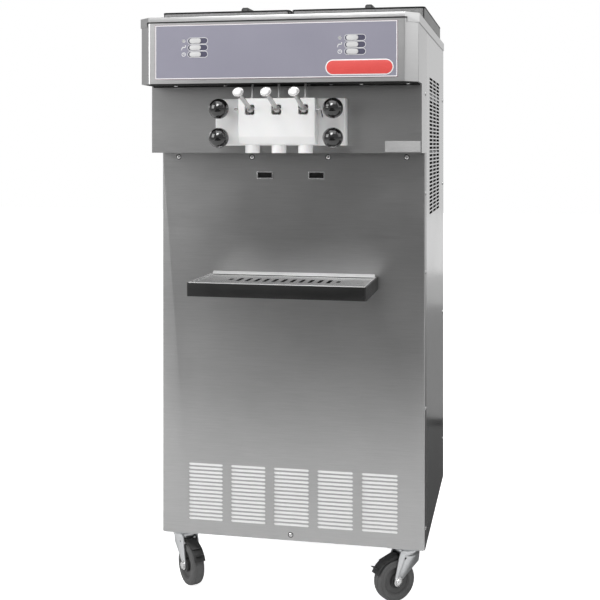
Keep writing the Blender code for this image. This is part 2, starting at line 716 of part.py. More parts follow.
def make_door(datum):
    """White freezer door: plate, raised block, three spouts with valve bores, and handle pockets."""
    half = DOOR_WIDTH / 2
    door = block(-half, half, DOOR_FACE, DOOR_BACK, DOOR_LOW, DOOR_HIGH)
    lap = DOOR_FACE + 0.002
    outline = [(lap, DOOR_LOW + BLOCK_FOOT), (BLOCK_FACE + BLOCK_LEAN, DOOR_LOW + BLOCK_FOOT),
               (BLOCK_FACE, DOOR_LOW + BLOCK_SLOPE), (BLOCK_FACE, DOOR_HIGH), (lap, DOOR_HIGH)]
    union(door, prism(outline, "X", -BLOCK_WIDTH / 2, BLOCK_WIDTH / 2))
    spouts = (-SPOUT_PITCH, 0, SPOUT_PITCH)
    for x in spouts:
        union(door, rod("Z", x, VALVE_Y, HEAD_FLOOR_Z, DOOR_LOW + 0.03, SPOUT_RADIUS, 14))
    bore = VALVE_RADIUS + VALVE_CLEAR
    pocket = POCKET_WIDTH / 2
    tools = [
        gather([rod("Z", x, VALVE_Y, HEAD_FLOOR_Z - 0.01, HEAD_FLOOR_Z + SPOUT_RECESS, SPOUT_MOUTH,
                    12) for x in spouts]),
        gather([rod("Z", x, VALVE_Y, HEAD_FLOOR_Z - 0.01, DOOR_HIGH - 0.0045, bore, 12)
                for x in spouts]),
        gather([rod("Z", x, VALVE_Y, DOOR_HIGH - 0.02, DOOR_HIGH + 0.01, ROD_RADIUS + GAP, 10)
                for x in spouts]),
        gather([block(x - pocket, x + pocket, BLOCK_FACE - 0.01, VALVE_Y - VALVE_RADIUS * 0.6,
                      PIVOT_Z - pocket - 0.0015, PIVOT_Z + pocket - 0.0015) for x in spouts]),
        rod("X", PIVOT_Y, PIVOT_Z, -BLOCK_WIDTH, BLOCK_WIDTH, PIVOT_ROD + PIVOT_CLEAR, 10),
        block(-SPOUT_PITCH - 0.006, SPOUT_PITCH + 0.006, DOOR_BACK - 0.010, DOOR_BACK + 0.01,
              DOOR_LOW + 0.017, DOOR_LOW + 0.029),
        gather([rod("Y", x, DOOR_LOW + 0.023, VALVE_Y, DOOR_BACK - 0.005, 0.005, 10) for x in spouts]),
        gather([rod("Y", x, z, DOOR_FACE - 0.05, DOOR_BACK + 0.01, STUD_RADIUS + GAP, 10)
                for x, z in stud_places()]),
    ]
    cut(door, *tools)
    node("freezer_door", door, WHITE, datum)


def make_knobs(datum):
    """Ball knobs that screw on the door studs."""
    steps = 6
    neck_end = KNOB_STAND - 0.0005
    start = math.asin(KNOB_NECK / KNOB_RADIUS)
    profile = [(STUD_RADIUS + GAP, neck_end), (KNOB_NECK, neck_end)]
    for i in range(steps + 1):
        a = start + (math.pi - start) * i / steps
        profile.append((KNOB_RADIUS * math.sin(a), KNOB_RADIUS * math.cos(a)))
    profile += [(0, -KNOB_RADIUS)] if profile[-1][0] > 1e-5 else []
    hole_end = KNOB_STAND - STUD_REACH - 0.002
    profile = [(0, hole_end), (STUD_RADIUS + GAP, hole_end)] + profile
    names = ("door_knob_upper_left", "door_knob_lower_left", "door_knob_upper_right",
             "door_knob_lower_right")
    for name, (x, z) in zip(names, stud_places()):
        knob = turned(profile, "Y", 14)
        node(name, knob, BLACK, datum, (x, DOOR_FACE - KNOB_STAND, z), smooth=50)


def make_pivot_rod(datum):
    """Rod through the three handles, with its end bent down for a finger."""
    left = -BLOCK_WIDTH / 2 - 0.010
    right = BLOCK_WIDTH / 2 + 0.006
    bend = 0.006
    path = [(left, 0, 0), (right, 0, 0)]
    for i in range(1, 5):
        a = math.radians(75 * i / 4)
        path.append((right + bend * math.sin(a), 0, -bend + bend * math.cos(a)))
    x, _, z = path[-1]
    path.append((x + 0.016 * math.cos(math.radians(75)), 0, z - 0.016 * math.sin(math.radians(75))))
    node("handle_pivot_rod", bent_rod(path, PIVOT_ROD, 10), BRIGHT, datum, (0, PIVOT_Y, PIVOT_Z),
         smooth=40)


def make_handles(datum):
    """Draw handle: boss on the pivot rod, tongue into the valve, lever and a tilted thumb pad."""
    pad_y = -HANDLE_REACH
    pad_z = HANDLE_RISE
    cos_a = math.cos(HANDLE_ANGLE)
    sin_a = math.sin(HANDLE_ANGLE)

    def on_lever(reach, off):
        return (-reach * cos_a - off * sin_a, reach * sin_a - off * cos_a)

    for x, side in ((-SPOUT_PITCH, "left"), (0, "centre"), (SPOUT_PITCH, "right")):
        handle = rod("X", 0, 0, -HANDLE_WIDTH / 2, HANDLE_WIDTH / 2, HANDLE_BOSS, 12)
        tongue_end = -TONGUE_REACH - 0.002
        tongue = [on_lever(0, TONGUE), on_lever(0, -TONGUE), on_lever(tongue_end, -TONGUE),
                  on_lever(tongue_end, TONGUE)]
        length = math.hypot(HANDLE_REACH, HANDLE_RISE)
        lever = [on_lever(0, 0.0042), on_lever(length, 0.0032), on_lever(length, -0.0032),
                 on_lever(0, -0.0042)]
        union(handle, prism(tongue, "X", -TONGUE, TONGUE), prism(lever, "X", -0.0042, 0.0042))
        pad = turned([(0, -0.004), (HANDLE_PAD * 0.72, -0.004), (HANDLE_PAD, 0.001), (HANDLE_PAD, 0.004),
                      (HANDLE_PAD * 0.75, 0.0025), (0, 0.0015)], "Z", 16)
        lean = math.pi / 2 - HANDLE_PAD_TILT
        for vertex in pad.data.vertices:
            a, b, c = vertex.co
            vertex.co = (a, pad_y + b * math.cos(lean) - c * math.sin(lean),
                         pad_z + b * math.sin(lean) + c * math.cos(lean))
        union(handle, pad)
        cut(handle, rod("X", 0, 0, -0.05, 0.05, PIVOT_ROD + PIVOT_CLEAR, 10))
        node("draw_handle_" + side, handle, CAST_GREY, datum, (x, PIVOT_Y, PIVOT_Z), smooth=35)


def make_valves(datum):
    """Draw valve plungers with a notch for the handle's tongue, and the switch rods above them."""
    travel = TONGUE_REACH * (math.sin(HANDLE_ANGLE) + math.sin(HANDLE_SWING - HANDLE_ANGLE))
    low = HEAD_FLOOR_Z + 0.003
    high = DOOR_HIGH - 0.0045 - travel - 0.0008
    notch = TONGUE + 0.0034
    for x, side in ((-SPOUT_PITCH, "left"), (0, "centre"), (SPOUT_PITCH, "right")):
        valve = rod("Z", x, VALVE_Y, low, high, VALVE_RADIUS, 12)
        cut(valve, block(x - 0.02, x + 0.02, VALVE_Y - 0.02, VALVE_Y + 0.0045, NOTCH_Z - notch,
                         NOTCH_Z + notch))
        node("draw_valve_" + side, valve, WHITE, datum, smooth=40)
        switch = rod("Z", x, VALVE_Y, high + GAP, HEADER_Z - GAP, ROD_RADIUS, 8)
        node("switch_rod_" + side, switch, BRIGHT, datum, smooth=40)


def make_seal_pan(datum):
    """Leak trough behind the front panel, with two mouths through the panel."""
    front = SHEET + 0.0012
    wall = 0.0015
    low = CHUTE_Z - CHUTE_HEIGHT / 2 - 0.006
    pan = block(-0.110, 0.110, front, 0.050, low, CHUTE_Z + 0.018)
    mouths = []
    holes = []
    for side in (-1, 1):
        x = side * CHUTE_X
        half = CHUTE_WIDTH / 2 - GAP
        tall = CHUTE_HEIGHT / 2 - GAP
        mouths.append(block(x - half, x + half, -0.0030, front + 0.001, CHUTE_Z - tall, CHUTE_Z + tall))
        holes.append(block(x - half + wall, x + half - wall, -0.01, front + 0.005,
                           CHUTE_Z - tall + wall, CHUTE_Z + tall - wall))
    union(pan, *mouths)
    cut(pan, block(-0.110 + wall, 0.110 - wall, front + wall, 0.050 - wall, low + wall, 2.0), *holes)
    node("seal_drip_pan", pan, BRIGHT, datum)


# ---- drip tray ----

def make_drip_tray(datum):
    half = TRAY_WIDTH / 2
    back = -0.0008
    low = TRAY_TOP - TRAY_HEIGHT
    tray = block(-half, half, -TRAY_REACH, back, low, TRAY_TOP)
    wall = TRAY_WALL
    ledge = 0.0035
    cut(tray, block(-half + wall, half - wall, -TRAY_REACH + wall, back - wall, TRAY_TOP - ledge, 1.0),
        block(-half + 2 * wall, half - 2 * wall, -TRAY_REACH + 2 * wall, back - 2 * wall, low + wall, 1.0))
    node("drip_tray", tray, BLACK, datum, (TRAY_X, 0, 0))

    inner = half - wall - GAP
    front = -TRAY_REACH + wall + GAP
    rear = back - wall - GAP
    seat = TRAY_TOP - ledge + GAP
    grid = block(-inner, inner, front, rear, seat, TRAY_TOP)
    cut(grid, block(-inner + GRID_RIM, inner - GRID_RIM, front + GRID_RIM, rear - GRID_RIM,
                    seat + GRID_THICK, 1.0))
    slots = []
    for i in range(GRID_SLOTS):
        ends = i in (0, GRID_SLOTS - 1)
        length = GRID_END_LENGTH if ends else GRID_SLOT_LENGTH
        x = (i - (GRID_SLOTS - 1) / 2) * GRID_PITCH
        outline = [(x + v, (front + rear) / 2 + u) for u, v in stadium(0, 0, length, GRID_SLOT_WIDTH)]
        slots.append(prism(outline, "Z", TRAY_TOP - 0.02, TRAY_TOP + 0.01))
    cut(grid, gather(slots))
    node("splash_grid", grid, BRIGHT, datum, (TRAY_X, 0, 0))

    top = low - GAP
    half = BRACKET_WIDTH / 2
    thick = 0.002
    bracket = block(-half, half, -GAP - thick, -GAP, top - BRACKET_DROP, top)
    union(bracket, block(-half, half, -BRACKET_REACH, -GAP - thick / 2, top - thick, top))
    for side in (-1, 1):
        x_low, x_high = sorted((side * half, side * (half - thick)))
        gusset = [(-GAP - thick / 2, top - BRACKET_DROP), (-GAP - thick / 2, top - thick / 2),
                  (-BRACKET_REACH * 0.85, top - thick / 2)]
        union(bracket, prism(gusset, "X", x_low, x_high))
    node("tray_bracket", bracket, BRIGHT, datum)


# ---- refrigeration ----

def make_refrigeration(datum):
    half = CONDENSER_WIDTH / 2
    low = BASE_Z + PAD_THICK + GAP
    vent_low = FRONT_VENT_Z - 0.010
    vent_high = FRONT_VENT_Z + (VENT_ROWS - 1) * VENT_ROW_PITCH + 0.010
    filter_half = VENT_GROUPS * VENT_COLUMN_PITCH / 2 + 0.008
    sheet = block(-filter_half, filter_half, SHEET + GAP, SHEET + GAP + FILTER_THICK, vent_low, vent_high)
    node("air_filter", sheet, FILTER, datum)

    centre_z = low + FAN_RADIUS + 0.014
    coil_back = CONDENSER_Y + CONDENSER_THICK
    ring_back = coil_back + SHROUD_LENGTH
    coil = block(-half, half, CONDENSER_Y, coil_back, low, low + CONDENSER_HEIGHT)
    ring = [(FAN_RADIUS + FAN_CLEAR, coil_back - 0.001), (FAN_RADIUS + FAN_CLEAR + 0.003, coil_back - 0.001),
            (FAN_RADIUS + FAN_CLEAR + 0.003, ring_back), (FAN_RADIUS + FAN_CLEAR, ring_back)]
    union(coil, place(turned(ring, "Y", 20, closed=True), 0, 0, centre_z))
    bar = FAN_RADIUS + FAN_CLEAR + 0.002
    union(coil, block(-bar, bar, ring_back - 0.005, ring_back + 0.001, centre_z - 0.008, centre_z + 0.008),
          block(-0.008, 0.008, ring_back - 0.0045, ring_back + 0.0005, centre_z - bar, centre_z + bar),
          rod("Y", 0, centre_z, ring_back - 0.003, ring_back + FAN_MOTOR_LENGTH, FAN_MOTOR_RADIUS),
          rod("Y", 0, centre_z, coil_back + 0.012, ring_back, 0.003, 10))
    node("condenser", coil, GALVANISED, datum)

    hub_front = 0.010
    hub_back = 0.034
    fan = turned([(0.0034, hub_front), (0.016, hub_front), (0.016, hub_back), (0.0034, hub_back)],
                 "Y", 15, closed=True)
    for i in range(FAN_BLADES):
        a = 2 * math.pi * i / FAN_BLADES
        outline = [(0.013, -0.012), (FAN_RADIUS - 0.003, -0.020), (FAN_RADIUS - 0.003, 0.020),
                   (0.013, 0.012)]
        blade = prism(outline, "Z", -0.0008, 0.0008)
        pitch = math.radians(25)
        for vertex in blade.data.vertices:
            r, chord, thick = vertex.co
            y = 0.022 + chord * math.sin(pitch) + thick * math.cos(pitch)
            t = chord * math.cos(pitch) - thick * math.sin(pitch)
            vertex.co = (r * math.cos(a) - t * math.sin(a), y, r * math.sin(a) + t * math.cos(a))
        union(fan, blade)
    node("condenser_fan", fan, ENAMEL, datum, (0, coil_back, centre_z))

    radius = COMPRESSOR_RADIUS
    top = COMPRESSOR_HEIGHT
    profile = [(0, 0), (radius * 0.95, 0), (radius, 0.010), (radius, top * 0.72), (radius * 0.88, top * 0.88),
               (radius * 0.5, top * 0.98), (0, top)]
    node("compressor", turned(profile, "Z", 20), ENAMEL, datum, (COMPRESSOR_X, COMPRESSOR_Y, low), smooth=40)


# ---- casters: each is built along +X, which is the way its wheel trails ----

def fork_leg_outline():
    axle_x = CASTER_TRAIL
    points = [(-0.023, FORK_TOP - 0.004), (0.029, FORK_TOP - 0.004), (0.036, FORK_TOP - 0.020),
              (axle_x + 0.009, WHEEL_RADIUS + 0.010)]
    for i in range(4):
        a = math.radians(20 - 220 * i / 3)
        points.append((axle_x + 0.0105 * math.cos(a), WHEEL_RADIUS + 0.0105 * math.sin(a)))
    points.append((-0.019, FORK_TOP - 0.034))
    return points


def make_casters(datum):
    inner = HUB_WIDTH / 2 + GAP
    outer = inner + FORK_LEG
    for corner, (side_x, side_y, heading) in CASTERS.items():
        x = side_x * CASTER_X
        y = CASTER_Y if side_y < 0 else DEPTH - CASTER_Y
        turn = math.radians(heading)
        crown_low = FORK_TOP - CROWN_HEIGHT
        crown = turned([(0, crown_low), (CROWN_RADIUS * 0.88, crown_low), (CROWN_RADIUS, crown_low + 0.005),
                        (CROWN_RADIUS, FORK_TOP), (0, FORK_TOP)], "Z", 16)
        union(crown, prism(fork_leg_outline(), "Y", inner, outer),
              prism(fork_leg_outline(), "Y", -outer, -inner))
        bore = AXLE_RADIUS + AXLE_CLEAR
        cut(crown, rod("Y", CASTER_TRAIL, WHEEL_RADIUS, -0.05, 0.05, bore, 10),
            rod("Z", 0, 0, crown_low + 0.0015, 0.2, KINGPIN + SHAFT_CLEAR, 10))
        if side_y < 0:
            cut(crown, gather([rod("Y", *PEDAL_PIVOT, side * inner - 0.01, side * inner + 0.01, 0.0027, 8)
                               for side in (-1, 1)]))
        fork = node("caster_fork_" + corner, crown, GALVANISED, datum, (x, y, 0), turn, smooth=40)

        half = WHEEL_WIDTH / 2
        profile = [(bore, -HUB_WIDTH / 2), (HUB_RADIUS, -HUB_WIDTH / 2), (HUB_RADIUS, -half * 0.62),
                   (WHEEL_RADIUS * 0.64, -half * 0.62), (WHEEL_RADIUS * 0.66, -half),
                   (WHEEL_RADIUS * 0.88, -half), (WHEEL_RADIUS, -half * 0.35)]
        profile += [(r, -w) for r, w in reversed(profile)]
        wheel = turned(profile, "Y", 20, closed=True)
        node("caster_wheel_" + corner, wheel, RUBBER, fork, (CASTER_TRAIL, 0, WHEEL_RADIUS), smooth=35)

        head = outer + GAP
        bolt = [(0, -head - 0.005), (AXLE_HEAD, -head - 0.005), (AXLE_HEAD, -head), (AXLE_RADIUS, -head),
                (AXLE_RADIUS, head), (AXLE_HEAD, head), (AXLE_HEAD, head + 0.006), (0, head + 0.006)]
        node("caster_axle_" + corner, turned(bolt, "Y", 8), BRIGHT, fork,
             (CASTER_TRAIL, 0, WHEEL_RADIUS))
        if side_y < 0:
            make_pedal("brake_pedal_" + corner, fork)


def make_pedal(name, fork):
    """Brake pedal: shoe that follows the tread, a foot pad above it and a release tab."""
    pivot_x, pivot_z = PEDAL_PIVOT
    start = 88
    end = 22
    steps = 6
    near = 0.0019            # gap to the tread at the shoe's start, widening towards its end
    inside = []
    outside = []
    for i in range(steps + 1):
        t = i / steps
        a = math.radians(start + (end - start) * t)
        low = WHEEL_RADIUS + near + (PEDAL_GAP - near) * t * 1.9
        for line, r in ((inside, low), (outside, low + PEDAL_THICK)):
            line.append((CASTER_TRAIL + r * math.cos(a) - pivot_x, WHEEL_RADIUS + r * math.sin(a) - pivot_z))
    shoe = prism(inside + list(reversed(outside)), "Y", -0.0145, 0.0145)
    link = [(-0.004, 0.0035), (-0.004, -0.0035), (0.004, -0.0035), (0.024, 0.0006), (0.024, 0.0038)]
    pad = [(0.014, 0.0010), (0.030, 0.0004), (0.052, -0.0082), (0.057, -0.0056), (0.018, 0.0090)]
    a = math.radians(36)
    tab_reach = WHEEL_RADIUS + 0.0062
    tab_x = CASTER_TRAIL + tab_reach * math.cos(a) - pivot_x
    tab_z = WHEEL_RADIUS + tab_reach * math.sin(a) - pivot_z
    tab = [(tab_x - 0.002, tab_z - 0.001), (tab_x + 0.014, tab_z + 0.0045), (tab_x + 0.0135, tab_z + 0.006),
           (tab_x - 0.002, tab_z + 0.0015)]
    union(shoe, prism(link, "Y", -0.0145, 0.0145), prism(pad, "Y", -0.0130, 0.0130),
          prism(tab, "Y", -0.0090, 0.0090),
          rod("Y", 0, 0, -HUB_WIDTH / 2 - 0.002, HUB_WIDTH / 2 + 0.002, 0.0022, 8))
    node(name, shoe, ENAMEL, fork, (pivot_x, 0, pivot_z))


def build():
    for obj in list(bpy.data.objects):
        bpy.data.objects.remove(obj, do_unlink=True)
    datum = bpy.data.objects.new("datum", None)
    bpy.context.scene.collection.objects.link(datum)
    datum.location = (0, -(FRONT_MOST + BACK_MOST) / 2, 0)
    make_frame(datum)
    make_front_panel(datum)
    make_side_panels(datum)
    make_rear_panel(datum)
    make_header(datum)
    make_fascia(datum)
    make_dispensing_panel(datum)
    make_deck(datum)
    make_lids(datum)
    make_barrels(datum)
    make_beaters(datum)
    make_gearmotors(datum)
    make_door(datum)
    make_knobs(datum)
    make_pivot_rod(datum)
    make_handles(datum)
    make_valves(datum)
    make_seal_pan(datum)
    make_drip_tray(datum)
    make_refrigeration(datum)
    make_casters(datum)


build()
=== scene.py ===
import json
import math

import bmesh
import bpy
from mathutils import Matrix, Vector


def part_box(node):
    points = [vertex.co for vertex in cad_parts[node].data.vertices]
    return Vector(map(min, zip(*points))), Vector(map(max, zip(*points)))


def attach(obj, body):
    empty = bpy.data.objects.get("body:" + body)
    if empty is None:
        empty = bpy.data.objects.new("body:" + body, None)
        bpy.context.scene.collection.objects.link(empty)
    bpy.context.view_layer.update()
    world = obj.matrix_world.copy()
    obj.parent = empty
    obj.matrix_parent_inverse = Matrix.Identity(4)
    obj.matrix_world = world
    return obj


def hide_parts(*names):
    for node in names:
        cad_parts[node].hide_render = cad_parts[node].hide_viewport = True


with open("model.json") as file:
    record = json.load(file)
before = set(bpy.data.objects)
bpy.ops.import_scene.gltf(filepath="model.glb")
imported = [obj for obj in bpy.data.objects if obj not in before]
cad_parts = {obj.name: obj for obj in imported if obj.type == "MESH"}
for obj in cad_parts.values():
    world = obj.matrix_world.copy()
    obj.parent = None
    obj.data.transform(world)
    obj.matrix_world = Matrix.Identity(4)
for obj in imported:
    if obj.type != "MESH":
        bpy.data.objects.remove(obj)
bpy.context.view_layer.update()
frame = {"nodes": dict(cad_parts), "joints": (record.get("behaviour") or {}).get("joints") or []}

nodes = frame["nodes"]
past = 0.01     # how far a cutter reaches past what it cuts


# helpers for working by hand

def clearSelection():
    if bpy.context.mode != "OBJECT":
        bpy.ops.object.mode_set(mode="OBJECT")
    bpy.ops.object.select_all(action="DESELECT")


def pick(*objs):
    clearSelection()
    for obj in objs:
        obj.select_set(True)
    bpy.context.view_layer.objects.active = objs[0]


def leaveEdit():
    bpy.ops.object.mode_set(mode="OBJECT")


def settle(obj):
    # puts the object's place into its mesh
    pick(obj)
    bpy.ops.object.transform_apply(location=True, rotation=True, scale=True)
    return obj


def startBox(name, low, high):
    clearSelection()
    low, high = Vector(low), Vector(high)
    bpy.ops.mesh.primitive_cube_add(size=1, location=(low + high) / 2, scale=high - low)
    obj = bpy.context.object
    obj.name = obj.data.name = name
    return settle(obj)


def turnRings(name, rings, place=(0, 0, 0), axis=(0, 0, 1), sides=32):
    # a disc drawn out ring by ring: pairs of radius and distance along the axis
    clearSelection()
    radius, height = rings[0]
    bpy.ops.mesh.primitive_circle_add(vertices=sides, radius=radius, fill_type="NGON", location=(0, 0, height))
    obj = bpy.context.object
    obj.name = obj.data.name = name
    settle(obj)
    bpy.ops.object.mode_set(mode="EDIT")
    bpy.ops.mesh.select_all(action="SELECT")
    for nextRadius, nextHeight in rings[1:]:
        rise = (0, 0, nextHeight - height)
        bpy.ops.mesh.extrude_region_move(TRANSFORM_OT_translate={"value": rise})
        factor = nextRadius / radius
        bpy.ops.transform.resize(value=(factor, factor, 1), center_override=(0, 0, nextHeight))
        radius, height = nextRadius, nextHeight
    bpy.ops.mesh.select_all(action="SELECT")
    bpy.ops.mesh.normals_make_consistent(inside=False)
    leaveEdit()
    turn = Vector((0, 0, 1)).rotation_difference(Vector(axis))
    obj.data.transform(Matrix.Translation(place) @ turn.to_matrix().to_4x4())
    return obj


def mirrored(rings):
    # a half profile and its mirror, for a wheel or a hub
    return rings + [(radius, -height) for radius, height in reversed(rings)]


def refine(name, nodeName):
    # a copy of a CAD node's mesh, merged and with its flat faces made whole again
    clearSelection()
    mesh = nodes[nodeName].data.copy()
    obj = bpy.data.objects.new(name, mesh)
    bpy.context.scene.collection.objects.link(obj)
    mesh.name = name
    mesh.materials.clear()
    pick(obj)
    bpy.ops.object.mode_set(mode="EDIT")
    bpy.ops.mesh.select_all(action="SELECT")
    bpy.ops.mesh.customdata_custom_splitnormals_clear()
    bpy.ops.mesh.remove_doubles(threshold=0.00002)
    bpy.ops.mesh.dissolve_limited(angle_limit=math.radians(0.6))
    bpy.ops.mesh.normals_make_consistent(inside=False)
    leaveEdit()
    return obj


def selectWhere(obj, kind, test):
    # leaves the object in edit mode; edges are tested by middle and direction, faces by middle and normal
    pick(obj)
    bpy.ops.object.mode_set(mode="EDIT")
    bpy.ops.mesh.select_mode(type=kind)
    bpy.ops.mesh.select_all(action="DESELECT")
    bm = bmesh.from_edit_mesh(obj.data)
    if kind == "VERT":
        for vertex in bm.verts:
            vertex.select = bool(test(vertex.co))
    elif kind == "EDGE":
        for edge in bm.edges:
            a, b = (v.co for v in edge.verts)
            edge.select = bool(test((a + b) / 2, (b - a).normalized()))
    else:
        for face in bm.faces:
            face.select = bool(test(face.calc_center_median(), face.normal))
    bm.select_flush_mode()
    bmesh.update_edit_mesh(obj.data)


def bevelEdges(obj, width, segments, test):
    selectWhere(obj, "EDGE", test)
    bpy.ops.mesh.bevel(offset=width, offset_type="OFFSET", segments=segments, profile=0.5, clamp_overlap=True)
    leaveEdit()
    return obj


def applyNew(obj, name, kind, **values):
    # gives the object a modifier with these values and applies it
    pick(obj)
    modifier = obj.modifiers.new(name, kind)
    for key, value in values.items():
        setattr(modifier, key, value)
    bpy.ops.object.modifier_apply(modifier=modifier.name)
    return obj


def softEdges(obj, width, segments=2, angle=32):
    return applyNew(obj, "edge", "BEVEL", width=width, segments=segments, limit_method="ANGLE",
                    angle_limit=math.radians(angle), harden_normals=False)


def carve(obj, tool, operation="DIFFERENCE"):
    applyNew(obj, "carve", "BOOLEAN", operation=operation, solver="EXACT", object=tool)
    bpy.data.objects.remove(tool, do_unlink=True)
    return obj


def joinAll(name, objs):
    pick(*objs)
    bpy.ops.object.join()
    obj = bpy.context.object
    obj.name = obj.data.name = name
    return obj


def twin(obj, name, matrix):
    # a copy with its own mesh, moved inside that mesh
    copy = bpy.data.objects.new(name, obj.data.copy())
    copy.data.name = name
    bpy.context.scene.collection.objects.link(copy)
    copy.data.transform(matrix)
    return copy


def finishPiece(obj, body, lookName, smooth=32, stands=()):
    obj.data.materials.clear()
    obj.data.materials.append(looks[lookName])
    pick(obj)
    bpy.ops.object.shade_smooth_by_angle(angle=math.radians(smooth))
    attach(obj, body)
    if stands:
        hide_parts(*stands)
    return obj


def middleOf(nodeName):
    low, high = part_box(nodeName)
    return tuple((a + b) / 2 for a, b in zip(low, high))


def isUpright(direction):
    return abs(direction.z) > 0.999


# camera, floor and light

studio = {
    "cameraPlace": (0.563, -2.780, 1.105),
    "cameraTurn": (90.0, 0.0, 11.67),
    "lens": 65.07,
    "sensor": 36,
    "shiftY": -0.2574,
    "floorSize": 30,
    "floorTone": 0.90,
    "floorGlow": 0.85,
    "ambient": 0.42,    # what the steel mirrors
    "fill": 0.60,       # what dull surfaces are lit by
    # dark cards that only the steel mirrors: size, place, lean from lying flat, tone
    "flags": {
        "flag": ((3.4, 2.6), (0.2, -3.3, 0.004), 0, 0.05),
        "wallFlag": ((3.6, 1.3), (0.0, -5.0, 0.65), 90, 0.07),
        "rearFlag": ((2.8, 1.70), (1.7, 0.65, 0.004), 0, 0.10),
        "rearLine": ((2.8, 0.12), (1.7, 1.56, 0.004), 0, 0.02),
        "rearField": ((2.8, 5.0), (1.7, 4.12, 0.004), 0, 0.30),
    },
    # place, target, side of the square, watts
    "lights": {
        "overhead": ((0.2, -1.0, 3.4), (0, 0, 0.6), 2.6, 38),
        "leftSoft": ((-2.6, -2.0, 2.2), (0, 0, 0.8), 1.8, 42),
        "rightSoft": ((3.4, 0.0, 2.9), (0.3, 0.0, 1.2), 2.8, 24),
        "frontSoft": ((-0.5, -3.2, 3.2), (0.1, -0.2, 1.1), 0.9, 13),
        "sheen": ((-0.15, -2.4, 3.3), (0.0, -0.33, 1.16), 1.1, 42),
        "backSoft": ((1.2, 4.6, 2.3), (1.2, 0.0, 2.0), 5.0, 23),
    },
}
cameraData = bpy.data.cameras.new("camera")
camera = bpy.data.objects.new("camera", cameraData)
bpy.context.scene.collection.objects.link(camera)
camera.location = studio["cameraPlace"]
camera.rotation_euler = [math.radians(a) for a in studio["cameraTurn"]]
cameraData.lens = studio["lens"]
cameraData.sensor_width = studio["sensor"]
cameraData.shift_y = studio["shiftY"]
bpy.context.scene.camera = camera
bpy.context.scene.view_settings.view_transform = "Standard"


def studioPlane(name, size, place, lean, tone):
    clearSelection()
    bpy.ops.mesh.primitive_plane_add(size=1, location=place, rotation=(math.radians(lean), 0, 0))
    obj = bpy.context.object
    obj.name = name
    obj.scale = (*size, 1)
    settle(obj)
    mat = bpy.data.materials.new(name)
    mat.use_nodes = True
    shader = mat.node_tree.nodes["Principled BSDF"]
    shader.inputs["Base Color"].default_value = (tone, tone, tone, 1)
    shader.inputs["Roughness"].default_value = 0.9
    shader.inputs["Specular IOR Level"].default_value = 0.1
    obj.data.materials.append(mat)
    return obj


# the floor glows for the camera only, so that it meets the backdrop without an edge
floor = studioPlane("floor", (studio["floorSize"], studio["floorSize"]), (0, 0, 0), 0, studio["floorTone"])
floorTree = floor.data.materials[0].node_tree
floorShader = floorTree.nodes["Principled BSDF"]
floorGlow = floorTree.nodes.new("ShaderNodeEmission")
floorGlow.inputs["Strength"].default_value = studio["floorGlow"]
floorSum = floorTree.nodes.new("ShaderNodeAddShader")
floorRay = floorTree.nodes.new("ShaderNodeLightPath")
floorMix = floorTree.nodes.new("ShaderNodeMixShader")
floorTree.links.new(floorShader.outputs[0], floorSum.inputs[0])
floorTree.links.new(floorGlow.outputs[0], floorSum.inputs[1])
floorTree.links.new(floorRay.outputs["Is Camera Ray"], floorMix.inputs["Fac"])
floorTree.links.new(floorShader.outputs[0], floorMix.inputs[1])
floorTree.links.new(floorSum.outputs[0], floorMix.inputs[2])
floorTree.links.new(floorMix.outputs[0], floorTree.nodes["Material Output"].inputs["Surface"])
for name, values in studio["flags"].items():
    flag = studioPlane(name, *values)
    flag.visible_camera = False
    flag.visible_shadow = False
    flag.visible_diffuse = False


def softLight(name, place, target, size, power):
    data = bpy.data.lights.new(name, "AREA")
    data.shape = "SQUARE"
    data.size = size
    data.energy = power
    obj = bpy.data.objects.new(name, data)
    bpy.context.scene.collection.objects.link(obj)
    obj.location = place
    obj.rotation_euler = (Vector(target) - Vector(place)).to_track_quat("-Z", "Y").to_euler()
    obj.visible_camera = False
    obj.visible_diffuse = name != "sheen"
    return obj


for name, values in studio["lights"].items():
    softLight(name, *values)

# three backgrounds: one for the camera, one for dull surfaces, one for all else
world = bpy.data.worlds.new("studio")
bpy.context.scene.world = world
world.use_nodes = True
worldTree = world.node_tree


def worldLight(strength, node=None):
    node = node or worldTree.nodes.new("ShaderNodeBackground")
    node.inputs["Color"].default_value = (1, 1, 1, 1)
    node.inputs["Strength"].default_value = strength
    return node.outputs[0]


def worldMix(ray, first, second):
    mix = worldTree.nodes.new("ShaderNodeMixShader")
    worldTree.links.new(rayNode.outputs[ray], mix.inputs["Fac"])
    worldTree.links.new(first, mix.inputs[1])
    worldTree.links.new(second, mix.inputs[2])
    return mix.outputs[0]


rayNode = worldTree.nodes.new("ShaderNodeLightPath")
ambient = worldLight(studio["ambient"], worldTree.nodes["Background"])
surroundings = worldMix("Is Diffuse Ray", ambient, worldLight(studio["fill"]))
everything = worldMix("Is Camera Ray", surroundings, worldLight(1.0))
worldTree.links.new(everything, worldTree.nodes["World Output"].inputs["Surface"])
print("studio ready")


# finishes

brushed = (0.6, 0.6, 26)    # a grain drawn out along the sheet's width


